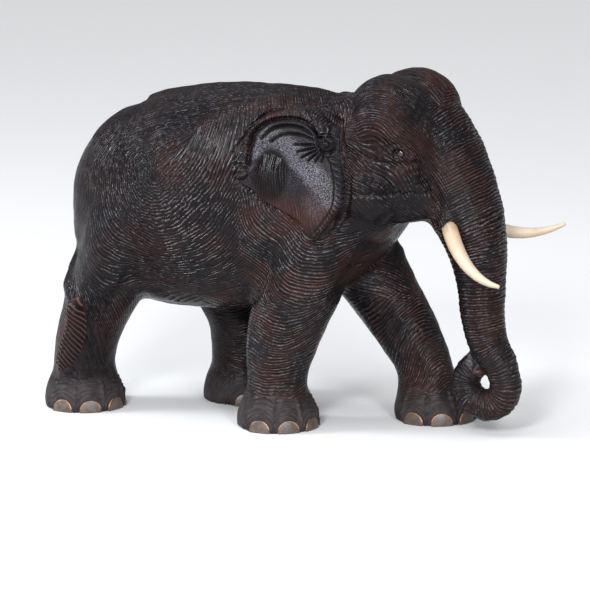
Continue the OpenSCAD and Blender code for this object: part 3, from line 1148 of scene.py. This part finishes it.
    def on_trunk(self, p: Array, gap: Array) -> Array:
        """How much each point belongs to the forehead and trunk.

        Args:
            p: Points of the skin.
            gap: Distances from the trunk's centre line, seen from the side.

        Returns:
            Shares from 0 to 1.
        """
        x, y, z = p[:, 0], np.abs(p[:, 1]), p[:, 2]
        cheek = rise(24, 33, y) * (1 - rise(126, 138, x))
        upper = rise(0, 8, x - 110 - 0.05 * (200 - z)) * rise(148, 158, z) * (1 - cheek)
        lower = (1 - rise(150, 158, z)) * rise(116, 122, x) * (1 - rise(26, 34, gap))
        curl = (1 - rise(14, 19, gap)) * (1 - rise(12, 17, y))
        return np.clip(upper + lower * np.where(z < 52, curl, 1.0), 0, 1)

    def ring(
        self, p: Array, centre: Point, pitch: float, turn: float, lean: float = 0.75
    ) -> tuple[Array, Array]:
        """Lines that circle a point on the side of the body.

        Args:
            p: Points of the skin.
            centre: Place of the point, along the body and up.
            pitch: Distance between lines.
            turn: Direction in degrees where the count along the line starts.
            lean: How fast the lines move inward toward the side of the body.

        Returns:
            Distance along the line, and the number of the line.
        """
        x, z = p[:, 0] - centre[0], p[:, 2] - centre[1]
        r = np.hypot(x, z)
        angle = np.abs((np.degrees(np.arctan2(z, x)) - turn + 180.0) % 360.0 - 180.0)
        return np.radians(angle) * 70.0 + 0.8 * p[:, 1], (r - lean * np.abs(p[:, 1])) / pitch

    def mark(self, skin: Skin, mesh: bpy.types.Mesh) -> None:
        """Stores the run of the gouge lines and the tone of the wood, with painted shade round the toenails
        and eyes.

        Args:
            skin: The worked skin.
            mesh: The mesh to write.
        """
        skin.write(mesh)
        p = self.plain
        x, s, z = p[:, 0], np.abs(p[:, 1]), p[:, 2]
        bend = p + 2.6 * np.stack([ripple(p, 70.0, 1.0), np.zeros(len(p)), ripple(p, 58.0, 3.0)], 1)
        gap, along = self.trunk_place(p)
        turn, _ = self.nearest_nail(p)
        nail_gap = np.hypot(turn, z - self.nail_base)
        # Share of each region at each point
        trunk = self.on_trunk(p, gap)
        foot = (1 - rise(21, 27, z)) * (1 - trunk)
        leg = (1 - rise(82, 104, z)) * (1 - foot) * (1 - trunk)
        rest = (1 - foot) * (1 - leg) * (1 - trunk)
        whole_head = rise(58, 68, x) * rise(146, 152, z) * rest
        body = rest - whole_head
        shoulder = rise(-24, -8, x) * (1 - rise(214, 226, z + 0.2 * x)) * body
        over = rise(-3, 9, (z - 196) * 0.921 - (x + 101) * 0.39) * rise(-112, -96, x)
        upper = np.clip(over, 0, 1) * (body - shoulder)
        flank = body - shoulder - upper
        jaw = whole_head * (1 - rise(174, 178, z)) * (1 - rise(112, 122, x))
        head = whole_head - jaw
        crown = head * (1 - rise(23, 31, s)) * rise(204, 216, z)
        # Flank, with the feet and the trunk
        low_end, trunk_end = foot + trunk > flank, trunk > foot
        u, _ = self.ring(bend, self.sweep[0], self.pitch, 90.0)
        v = (nearest(bend[:, [0, 2]], curve_points(self.sweep, 6))[0] - 0.75 * s) / self.pitch
        end_u = np.where(trunk_end, p[:, 1] * 1.2, turn)
        end_v = np.where(trunk_end, (along - 0.10 * s) / 2.15, nail_gap / 2.6)
        strength = np.where(low_end, foot * 0.55 + trunk, flank)
        flows = [(np.where(low_end, end_u, u), np.where(low_end, end_v, v), strength)]
        # Withers, with the jaw
        u, v = self.ring(bend, self.withers, self.fine_pitch, -90.0)
        on_jaw = jaw > upper
        jaw_v = (0.55 * x + 0.5 * z) / 1.9
        flows.append((np.where(on_jaw, z, u), np.where(on_jaw, jaw_v, v), upper + 0.45 * jaw))
        # Shoulder, with the crown of the head
        u, v = self.ring(bend, self.shoulder_eye, 2.35, 0.0)
        crown_v = (1.15 * bend[:, 1] * np.sign(p[:, 1]) + 0.30 * bend[:, 2]) / self.fine_pitch
        flows.append((np.where(crown > 0, x, u), np.where(crown > 0, crown_v, v), shoulder + crown))
        # Sides of the head, with the legs
        u, v = self.ring(bend, self.nape, self.fine_pitch, 180.0, 1.15)
        angle = self.leg_angle(p)
        leg_v = (bend[:, 2] + 0.26 * bend[:, 0] * np.cos(angle + 1.1)) / 2.3
        on_leg = leg > head
        leg_u = np.abs(angle) * 26.0
        flows.append((np.where(on_leg, leg_u, u), np.where(on_leg, leg_v, v), leg + head - crown))
        add_flows(mesh, len(p), flows)
        wear = 0.24 + 0.7 * shoulder + 0.45 * leg + 0.4 * trunk + 0.35 * head
        wear += 0.25 * flank * rise(-150, -30, x)
        dust = np.clip(0.8 * (1 - rise(10, 29, z)) * (1 - trunk) + 0.16 * (1 - rise(40, 90, z)), 0, 1)
        # Painted shade in the wells round the toenails and round the eyes
        shaded_hollow = 0.8 * (1 - rise(self.nail_reach - 0.2, self.nail_reach + 1.0, nail_gap)) * foot
        shaded_hollow += 0.7 * fall(7.0, np.hypot(x - self.eye[0], z - self.eye[1])) * rise(26, 30, s)
        add_vectors(mesh, "tone", np.stack([np.clip(wear, 0, 1.3), dust, np.clip(shaded_hollow, 0, 1)], 1))

    def leg_angle(self, p: Array) -> Array:
        """Angle of each point round its own leg.

        Args:
            p: Points of the skin.

        Returns:
            Angles in radians, measured from the elephant's inner side.
        """
        angle = np.zeros(len(p))
        best = np.full(len(p), FAR)
        sway = 0.7 * np.clip((p[:, 2] - 30) / 75, 0, 1)
        for foot in self.feet:
            hip = -118 if foot.x < self.seam else 30
            mid = foot.x + sway * (hip - foot.x)
            gap = np.hypot(p[:, 0] - mid, p[:, 1] - foot.y)
            side = -1.0 if foot.y < 0 else 1.0
            near = gap < best
            angle[near] = np.arctan2(p[:, 0] - mid, side * (p[:, 1] - foot.y))[near]
            best[near] = gap[near]
        return angle

    def split(self, mesh: bpy.types.Mesh, wood: bpy.types.Material) -> None:
        """Cuts the skin at the glued face into its two blocks.

        Args:
            mesh: The finished skin.
            wood: The carved wood material.
        """
        for name, keep_front in (("rear_block_carved", False), ("front_block_carved", True)):
            bm = bmesh.new()
            bm.from_mesh(mesh)
            cut = bmesh.ops.bisect_plane(
                bm,
                geom=list(bm.verts) + list(bm.edges) + list(bm.faces),
                dist=1e-7,
                plane_co=Vector((self.seam * MM, 0, 0)),
                plane_no=Vector((1, 0, 0)),
                clear_inner=keep_front,
                clear_outer=not keep_front,
            )
            edges = [part for part in cut["geom_cut"] if isinstance(part, bmesh.types.BMEdge)]
            rim = [edge for edge in edges if edge.is_valid and edge.is_boundary]
            bmesh.ops.holes_fill(bm, edges=rim, sides=0)
            for edge in rim:
                edge.smooth = False
            bmesh.ops.triangulate(bm, faces=[f for f in bm.faces if len(f.verts) > 4])
            node = name.removesuffix("_carved")
            self.blocks[node] = placed(name, mesh_from(bm, name))
            finish_piece(self.blocks[node], wood, "carved_wood", node)


# ---------------------------------------------------------------- ears


@dataclass
class Ear:
    """One ear: a thick leaf with a rolled and hatched rim, fan folds, a whorl and a roped front edge.

    Places are given as distance back from the whorl and distance down from it.
    """

    side: Side
    bed: EarBed
    whorl: Point = (51.0, 212.0)
    face: float = 60.0
    proud: float = 2.2
    thinnest: float = 1.9
    deepest: float = 13.0
    front_share: float = 0.82
    rope_pitch: float = 4.4
    roll: tuple[Point, ...] = (
        (64.5, 24), (65, 14), (63.5, 3), (58.5, -8), (48, -16), (35, -19.5), (22, -20), (11, -16.5), (2, -10),
    )
    first_fold: tuple[Point, ...] = (
        (59.5, 17), (59.5, 3), (55, -7), (44, -14), (31, -16.5), (19, -15.5), (11, -11), (6.5, -5),
    )
    second_fold: tuple[Point, ...] = ((52, -1), (43, -8.5), (32, -11.5), (20, -10.5), (10.5, -5.5))
    third_fold: tuple[Point, ...] = ((44, 0.5), (37, -4), (27, -6), (17, -5), (9.5, -2.5))
    first_crest: tuple[Point, ...] = ((56, 8), (51.5, -3), (44, -11), (32, -14), (19, -13), (10, -8))
    second_crest: tuple[Point, ...] = ((47, 0), (38, -7), (28, -9), (18, -8), (10, -4.5))
    rope: tuple[Point, ...] = ((-5, 8), (-8.5, 19), (-9.5, 30), (-7.5, 43), (-1, 54), (8.5, 66))
    fan: tuple[Point, ...] = ((25, 1.5), (23, 6.5), (19.5, 10.5), (14.5, 12.5), (9, 13), (4, 13))
    hem: tuple[Point, ...] = ((60, 31), (47, 39.5), (33, 45), (22, 52), (12, 64))
    tip: tuple[Point, ...] = ((66, 27), (60, 24), (55, 18))
    notch: tuple[Point, ...] = ((66, 31), (60, 29.5), (54, 26))
    # Line along the ear's face that gets a painted sheen
    sheen_line: tuple[Point, ...] = ((58, 5), (46, 0), (33, 2), (22, 10), (12, 20), (3, 29), (-2, 38))

    def build(self, wood: bpy.types.Material) -> None:
        """Makes the ear.

        Args:
            wood: The carved wood material.
        """
        name = f"ear_{self.side.name.lower()}"
        mesh, ball, unit = unit_ball(name, 400, 225)
        turn = np.arctan2(unit[:, 1], unit[:, 0])
        polar = np.arccos(np.clip(unit[:, 2], -1, 1)) / math.pi
        front = polar < self.front_share
        grown = np.where(front, polar / self.front_share, (1 - polar) / (1 - self.front_share))
        wide = np.where(front, np.sin(np.clip(grown, 0, 1) * math.pi / 2) ** 1.15, grown)
        reach = self.bed.reach(turn) * wide
        x = self.bed.middle[0] + reach * np.cos(turn)
        z = self.bed.middle[1] + reach * np.sin(turn)
        flat = np.stack([self.whorl[0] - x, self.whorl[1] - z], 1)
        plain = self.bed.depth(x, z)
        face = np.maximum(self.face - self.lean(flat), plain + self.proud)
        under = np.maximum(np.minimum(plain, face) - 3.5, face - self.deepest)
        # The rim rounds over in the last sixth of the way out
        edge = np.where(front, np.sqrt(np.clip(1 - (np.clip(grown - 0.83, 0, 1) / 0.17) ** 2, 0, 1)), 0.0)
        top = under + (face - under) * edge
        carved = np.maximum(top + self.relief(flat) * edge, np.minimum(plain + self.thinnest, top))
        ball.points = np.stack([x, self.side.value * np.where(front, carved, under), z], 1)
        ball.write(mesh)
        self.mark(mesh, flat, ball.points)
        face_out(mesh)
        finish_piece(placed(name, mesh), wood, "carved_wood", "front_block")

    def lean(self, flat: Array) -> Array:
        """How far the ear's face falls back toward the body.

        Args:
            flat: Places on the ear.

        Returns:
            Distances.
        """
        back, down = flat.T
        low = 4.0 * rise(20, 72, down) + 6.5 * (1 - rise(-27, -2, down))
        return low + (5.0 * rise(34, 70, back) + 1.5 * rise(0, -12, back))

    def fan_gaps(self, flat: Array) -> Iterator[tuple[Array, Array]]:
        """Distance from each cut of the fan, and how far along the cut that is, one cut at a time."""
        for end in self.fan:
            yield nearest(flat, np.array([np.array(end) * 0.38, end], float))

    def rope_twist(self, flat: Array) -> tuple[Array, Array, Array]:
        """Finds the rope on the front edge.

        Args:
            flat: Places on the ear.

        Returns:
            Distance from the rope, its twist from -1 to 1, and distance from the groove inside it.
        """
        gap, along = nearest(flat, curve_points(self.rope, 10))
        inner = [(back + 4.2, down + 0.5) for back, down in self.rope]
        return gap, np.cos(along * TAU / self.rope_pitch + 0.9 * flat[:, 0]), gap_to(flat, inner)

    def relief(self, flat: Array) -> Array:
        """Height of the ear's carving over its plain face.

        Args:
            flat: Places on the ear.

        Returns:
            Heights.
        """
        back, down = flat.T
        high = np.full(len(flat), -1.6)
        roll, along = nearest(flat, curve_points(self.roll, 10))
        hatch = 1 + 0.10 * np.cos(along * TAU / 3.1 + roll)
        high += 4.4 * np.sqrt(np.clip(1 - (roll / 5.2) ** 2, 0, 1)) * hatch
        # Each line: path, half width, height
        for path, width, height in (
            (self.first_fold, 2.7, -3.4),
            (self.second_fold, 2.0, -2.3),
            (self.third_fold, 2.0, -2.1),
            (self.first_crest, 3.4, 1.6),
            (self.second_crest, 2.8, 1.4),
            (self.tip, 3.0, 2.4),
            (self.notch, 2.6, -2.6),
        ):
            high += height * fall(width, gap_to(flat, path))
        for gap, along in self.fan_gaps(flat):
            high -= 3.0 * fall(1.6, gap) * (1 - 0.4 * along / along.max())
        gap = np.hypot(back + 0.5, (down + 0.5) * 1.12)
        high += 4.2 * fall(7.6, gap) - 2.4 * fall(2.2, np.abs(gap - 7.0)) - 1.5 * fall(1.5, np.abs(gap - 3.4))
        high += 1.3 * fall(2.0, np.abs(gap - 9.2))
        rope, twist, inner = self.rope_twist(flat)
        high += 3.4 * np.sqrt(np.clip(1 - (rope / 3.1) ** 2, 0, 1)) * (0.60 + 0.40 * twist)
        high -= 1.5 * fall(1.7, inner)
        # Mound under the fan, bowl at the back, swelling at the front
        high += 1.8 * fall(12.0, np.hypot(back - 15, down - 5))
        high -= 3.0 * fall(1.0, np.hypot((back - 42) / 15, (down - 24) / 25))
        high += 1.0 * fall(1.0, np.hypot((back - 12) / 16, (down - 34) / 24))
        hem = gap_to(flat, self.hem)
        return high + 0.9 * fall(5.0, hem) - 0.5 * fall(1.8, np.abs(hem - 5.2))

    def mark(self, mesh: bpy.types.Mesh, flat: Array, p: Array) -> None:
        """Stores the ear's gouge lines and tone, with painted shade in its folds and a painted sheen on its
        face.

        Args:
            mesh: The ear's mesh.
            flat: Places on the ear.
            p: Points of the ear.
        """
        back, down = flat.T
        roll, along = nearest(flat, curve_points(self.roll, 10))
        on_roll = 1 - rise(4.6, 5.6, roll)
        shaded_hollow = 1 - rise(0.55, 1.0, np.hypot((back - 43) / 16, (down - 24) / 24))
        lower = np.maximum(rise(22, 50, down), shaded_hollow) * (1 - on_roll)
        hatching = (roll, (along + 0.8 * roll) / 2.2, on_roll * 0.62)
        streaks = (down, (back + 2.0 * ripple(p, 34.0)) / 2.1, lower * 0.34)
        add_flows(mesh, len(p), [hatching, streaks])
        # Painted shade in the bowl, the folds, the fan cuts, the groove inside the rope and under the rope's
        # twists
        rope, twist, inner = self.rope_twist(flat)
        shade_parts = [1.08 * shaded_hollow, fall(2.6, gap_to(flat, self.first_fold)), 0.9 * fall(1.5, inner)]
        shade_parts += [0.8 * fall(1.8, gap_to(flat, path)) for path in (self.second_fold, self.third_fold)]
        shade_parts += [fall(1.5, gap) for gap, _ in self.fan_gaps(flat)]
        shade_parts.append(0.9 * rise(0.1, 0.9, -twist) * (1 - rise(2.6, 3.2, rope)))
        painted_shade = np.max(shade_parts, axis=0)
        wear = 0.25 + 0.95 * on_roll * rise(4, 46, back) + 1.0 * lower
        # Painted sheen: a band along a line over the ear's face and a patch at the front, kept off the rim
        # and the shaded folds
        band = np.clip(1.5 * fall(13.0, gap_to(flat, self.sheen_line)), 0, 1)
        front_sheen = 0.40 * fall(1.0, np.hypot((back - 8) / 15, (down - 42) / 22))
        sheen_mask = np.max([band, front_sheen, 0.22 * (1 - lower) * (1 - on_roll)], axis=0) * (1 - on_roll)
        sheen_mask *= (1 - np.clip(painted_shade * 1.2, 0, 1)) * rise(4.5, 8.5, np.hypot(back, down))
        zero = np.zeros(len(p))
        add_vectors(mesh, "satin", np.stack([sheen_mask, zero, zero], 1))
        add_vectors(mesh, "tone", np.stack([wear, zero, np.clip(painted_shade * 0.8, 0, 0.9)], 1))


# ---------------------------------------------------------------- tail


@dataclass
class TailBrush:
    """The brush of the tail, carved as a herringbone leaf on the right hind leg."""

    foot: Foot
    leg: bpy.types.Object
    turn: float = -108.0
    top: float = 88.0
    tip: float = 35.0
    width: float = 14.0
    proud: float = 2.4
    lean: float = 0.36
    ankle: float = 30.0
    leg_radius: float = 27.0
    pitch: float = 3.5
    outline: tuple[Point, ...] = (
        (0, 0.05), (0.04, 0.26), (0.14, 0.42), (0.3, 0.72), (0.55, 0.95), (0.8, 1.0), (0.93, 0.72), (1, 0.1),
    )

    def build(self, wood: bpy.types.Material) -> None:
        """Makes the brush.

        Args:
            wood: The carved wood material.
        """
        mesh, ball, unit = unit_ball("tail_brush", 200, 150)
        t = 0.5 - unit[:, 2] / 2
        level = np.sqrt(np.clip(1 - unit[:, 2] ** 2, 1e-9, 1))
        angle = np.arctan2(unit[:, 1], unit[:, 0])
        leaf = np.interp(t, *zip(*self.outline))
        across = np.cos(angle) * leaf * self.width * np.minimum(level * 4, 1)
        z = self.top + (self.tip - self.top) * t
        z -= 5.0 * rise(0.75, 1.0, t) * np.cos(angle) ** 2 * np.sign(0.2 + np.cos(angle))
        ground = self.ground(across, z)
        face = np.sin(angle)
        cut = np.abs((((z + 1.05 * np.abs(across)) / self.pitch) % 1.0) * 2 - 1)
        lines = rise(0.0, 0.5, face) * rise(0.10, 0.2, t)
        out = np.where(face > 0, self.proud * np.abs(face) ** 1.3, -2.0) * np.minimum(level * 3, 1)
        out += lines * (1.3 * (cut - 0.6) + 1.1 * fall(2.6, np.abs(across)) - 1.0 * fall(0.9, np.abs(across)))
        r = ground + out
        turn = math.radians(self.turn) + across / self.leg_radius
        x = self.foot.x + self.lean * np.maximum(z - self.ankle, 0) + r * np.cos(turn)
        ball.points = np.stack([x, self.foot.y + r * np.sin(turn), z], 1)
        ball.write(mesh)
        add_flows(mesh, len(z))
        # Painted shade in the bottoms of the brush's cuts
        shaded_hollow = 0.85 * (1 - rise(0.1, 0.6, cut)) * lines
        add_vectors(mesh, "tone", np.stack([0.7 + 1.15 * cut, np.full(len(z), 0.05), shaded_hollow], 1))
        face_out(mesh)
        finish_piece(placed("tail_brush", mesh), wood, "carved_wood", "rear_block")

    def ground(self, across: Array, z: Array) -> Array:
        """How far the leg's wood is from the leg's axis behind each point of the brush.

        Args:
            across: Distances round the leg from the middle of the brush.
            z: Heights.

        Returns:
            Distances from the axis.
        """
        tree = BVHTree.FromObject(self.leg, bpy.context.evaluated_depsgraph_get())
        out = np.empty(len(z))
        for i, (side, height) in enumerate(zip(across, z)):
            turn = math.radians(self.turn) + float(side) / self.leg_radius
            way = Vector((math.cos(turn), math.sin(turn), 0.0))
            lean = self.lean * max(float(height) - self.ankle, 0)
            mid = Vector((self.foot.x + lean, self.foot.y, float(height)))
            hit, *_ = tree.ray_cast((mid + way * 60.0) * MM, -way)
            out[i] = 25.0 if hit is None else (hit / MM - mid).length
        return out


# ---------------------------------------------------------------- small set-in pieces


@dataclass
class InlaidPiece:
    """A small piece taken from its frame node, with its edges rounded off."""

    node: str
    source: bpy.types.Object
    slot: str
    voxel: float
    rounds: int

    def build(self, material: bpy.types.Material, tone: Callable[[Array], Array]) -> None:
        """Makes the piece.

        Args:
            material: Its finish.
            tone: Gives three values for each point, which the finish reads.
        """
        rough = blank_object("rough_" + self.node, [self.source.data])
        mesh = remeshed(rough, self.voxel)
        bpy.data.objects.remove(rough)
        skin = Skin.of(mesh)
        skin.soften(self.rounds, 0.9)
        skin.points[:, 2] = np.maximum(skin.points[:, 2], 0.0)
        skin.write(mesh)
        add_vectors(mesh, "tone", tone(skin.points))
        finish_piece(placed(self.node + "_worked", mesh), material, self.slot, self.node)


def tusk_tone(side: Side) -> Callable[[Array], Array]:
    """Tone of a tusk, which darkens toward its root.

    Args:
        side: The tusk's side.

    Returns:
        The tone function.
    """
    root = np.array([131.0, side.value * 24.0, 154.0])

    def tone(p: Array) -> Array:
        """Tone for each point."""
        gap = np.linalg.norm(p - root, axis=1)
        return np.stack([1 - rise(2, 34, gap), 0 * gap, 0 * gap], 1)

    return tone


def nail_tone(foot: Foot, index: int, body: CarvedBody) -> Callable[[Array], Array]:
    """Tone of a toenail, which brightens along its arch.

    Args:
        foot: The foot that holds it.
        index: Which toenail, from 0.
        body: The body, which knows how the toenails are set out.

    Returns:
        The tone function.
    """
    turn = math.radians(foot.first + body.nail_pitch * index)

    def tone(p: Array) -> Array:
        """Tone for each point."""
        across = -(p[:, 0] - foot.x) * math.sin(turn) + (p[:, 1] - foot.y) * math.cos(turn)
        gap = np.hypot(across, p[:, 2] - body.nail_base)
        return np.stack([rise(6.5, 8.1, gap) * rise(1.0, 4.0, p[:, 2]), across * MM, 0 * gap], 1)

    return tone


def eye_tone(name: str) -> Callable[[Array], Array]:
    """Tone of an eye bead, from the pupil outward.

    Args:
        name: The bead's frame node.

    Returns:
        The tone function.
    """
    centre = middle_of(name)

    def tone(p: Array) -> Array:
        """Tone for each point."""
        gap = np.hypot(p[:, 0] - centre[0], p[:, 2] - centre[2]) / 4.0
        return np.stack([gap, 0 * gap, 0 * gap], 1)

    return tone


# ---------------------------------------------------------------- studio


@dataclass(frozen=True)
class Lamp:
    """One soft box: where it stands, how large it is and how strong."""

    name: str
    at: tuple[float, float, float]
    size: tuple[float, float]
    power: float
    tint: tuple[float, float, float]


@dataclass(frozen=True)
class Studio:
    """Pale floor, soft boxes and the camera."""

    turn: float = 24.5
    rise: float = 10.0
    distance: float = 2.180
    aim: tuple[float, float, float] = (0.0102, 0.0, 0.123)
    per_step: float = 0.0007322
    frame_steps: float = 590.0
    shift: Point = (13.0, 43.0)
    sensor: float = 36.0
    lamps: tuple[Lamp, ...] = (
        Lamp("left_box", (-1.55, -0.75, 0.95), (0.46, 0.54), 36.0, (0.90, 0.94, 1.0)),
        Lamp("front_box", (0.30, -1.70, 1.05), (0.38, 0.42), 36.0, (0.97, 0.98, 1.0)),
        Lamp("right_box", (1.15, -1.20, 0.85), (0.32, 0.50), 24.0, (0.93, 0.96, 1.0)),
    )
    floor_tone: float = 0.50
    sky: float = 2.5
    room: float = 0.60
    mirrored: float = 0.22

    def build(self) -> None:
        """Sets the floor, light and camera."""
        self.floor()
        self.light()
        self.camera()

    def floor(self) -> None:
        """Lays a large pale floor."""
        bm = bmesh.new()
        bmesh.ops.create_grid(bm, x_segments=2, y_segments=2, size=12.0)
        mesh = mesh_from(bm, "floor")
        floor = placed("floor", mesh)
        mat = bpy.data.materials.new("floor")
        mat.use_nodes = True
        bsdf = mat.node_tree.nodes["Principled BSDF"]
        bsdf.inputs["Base Color"].default_value = (self.floor_tone, self.floor_tone, self.floor_tone, 1.0)
        bsdf.inputs["Roughness"].default_value = 0.9
        mesh.materials.append(mat)
        floor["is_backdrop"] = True

    def light(self) -> None:
        """Hangs the soft boxes and lights the room evenly."""
        for lamp in self.lamps:
            data = bpy.data.lights.new(lamp.name, "AREA")
            data.shape = "RECTANGLE"
            data.size, data.size_y = lamp.size
            data.energy = lamp.power
            data.color = lamp.tint
            obj = placed(lamp.name, data)
            obj.location = lamp.at
            way = Vector((0.0, 0.0, 0.12)) - Vector(lamp.at)
            obj.rotation_euler = way.to_track_quat("-Z", "Y").to_euler()
        sun = bpy.data.lights.new("ceiling", "SUN")
        sun.energy = self.sky
        sun.angle = math.radians(60.0)
        sun.color = (0.97, 0.98, 1.0)
        placed("ceiling", sun).rotation_euler = (math.radians(8.0), math.radians(-10.0), 0.0)
        world = bpy.data.worlds.new("studio")
        world.use_nodes = True
        back = world.node_tree.nodes["Background"]
        back.inputs["Color"].default_value = (0.96, 0.97, 1.0, 1.0)
        # The lacquer mirrors a dimmer room than the one seen behind the object
        n = Nodes(world.node_tree)
        ray = n.add("ShaderNodeLightPath")
        seen = n.step(ray.outputs["Is Glossy Ray"], 0.0, 1.0, (self.room, self.mirrored))
        n.link(seen, back.inputs["Strength"])
        bpy.context.scene.world = world
        bpy.context.scene.view_settings.view_transform = "Standard"

    def camera(self) -> None:
        """Places the camera at the viewing angle."""
        a, e = math.radians(self.turn), math.radians(self.rise)
        right = Vector((math.cos(a), math.sin(a), 0.0))
        back = Vector((math.sin(a) * math.cos(e), -math.cos(a) * math.cos(e), math.sin(e)))
        up = Vector((-math.sin(a) * math.sin(e), math.cos(a) * math.sin(e), math.cos(e)))
        target = Vector(self.aim)
        spot = target + back * self.distance
        middle = target - right * (self.shift[0] * self.per_step) - up * (self.shift[1] * self.per_step)
        data = bpy.data.cameras.new("camera")
        data.sensor_width = self.sensor
        data.lens = self.distance / self.per_step / self.frame_steps * self.sensor
        data.clip_end = 50.0
        obj = placed("camera", data)
        obj.location = spot
        obj.rotation_euler = (middle - spot).to_track_quat("-Z", "Y").to_euler()
        bpy.context.scene.camera = obj


def main() -> None:
    """Builds the carving piece by piece."""
    logging.basicConfig(level=logging.INFO, format="%(name)s: %(message)s")
    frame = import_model()
    cad_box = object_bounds()
    nodes = frame["nodes"]
    Studio().build()
    wood = CarvedWood().material(gouge_group())
    body = CarvedBody(nodes)
    body.build(wood)
    for side in Side:
        Ear(side, body.bed).build(wood)
    TailBrush(body.feet[0], body.blocks["rear_block"]).build(wood)
    ivory, horn, bead = Tusk().material(), Toenail().material(), EyeBead().material()
    for side in Side:
        name = f"tusk_{side.name.lower()}"
        InlaidPiece(name, nodes[name], "tusk", 0.55, 6).build(ivory, tusk_tone(side))
    for foot in body.feet:
        for i in range(foot.nails):
            name = f"nail_{foot.name}_{i + 1}"
            InlaidPiece(name, nodes[name], "toenail", 0.5, 3).build(horn, nail_tone(foot, i, body))
    for side in Side:
        name = f"eye_{side.name.lower()}"
        InlaidPiece(name, nodes[name], "eye", 0.35, 3).build(bead, eye_tone(name))
    [[list(map(float, c)) for c in box] for box in (cad_box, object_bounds())]


if __name__ == "__main__":
    main()
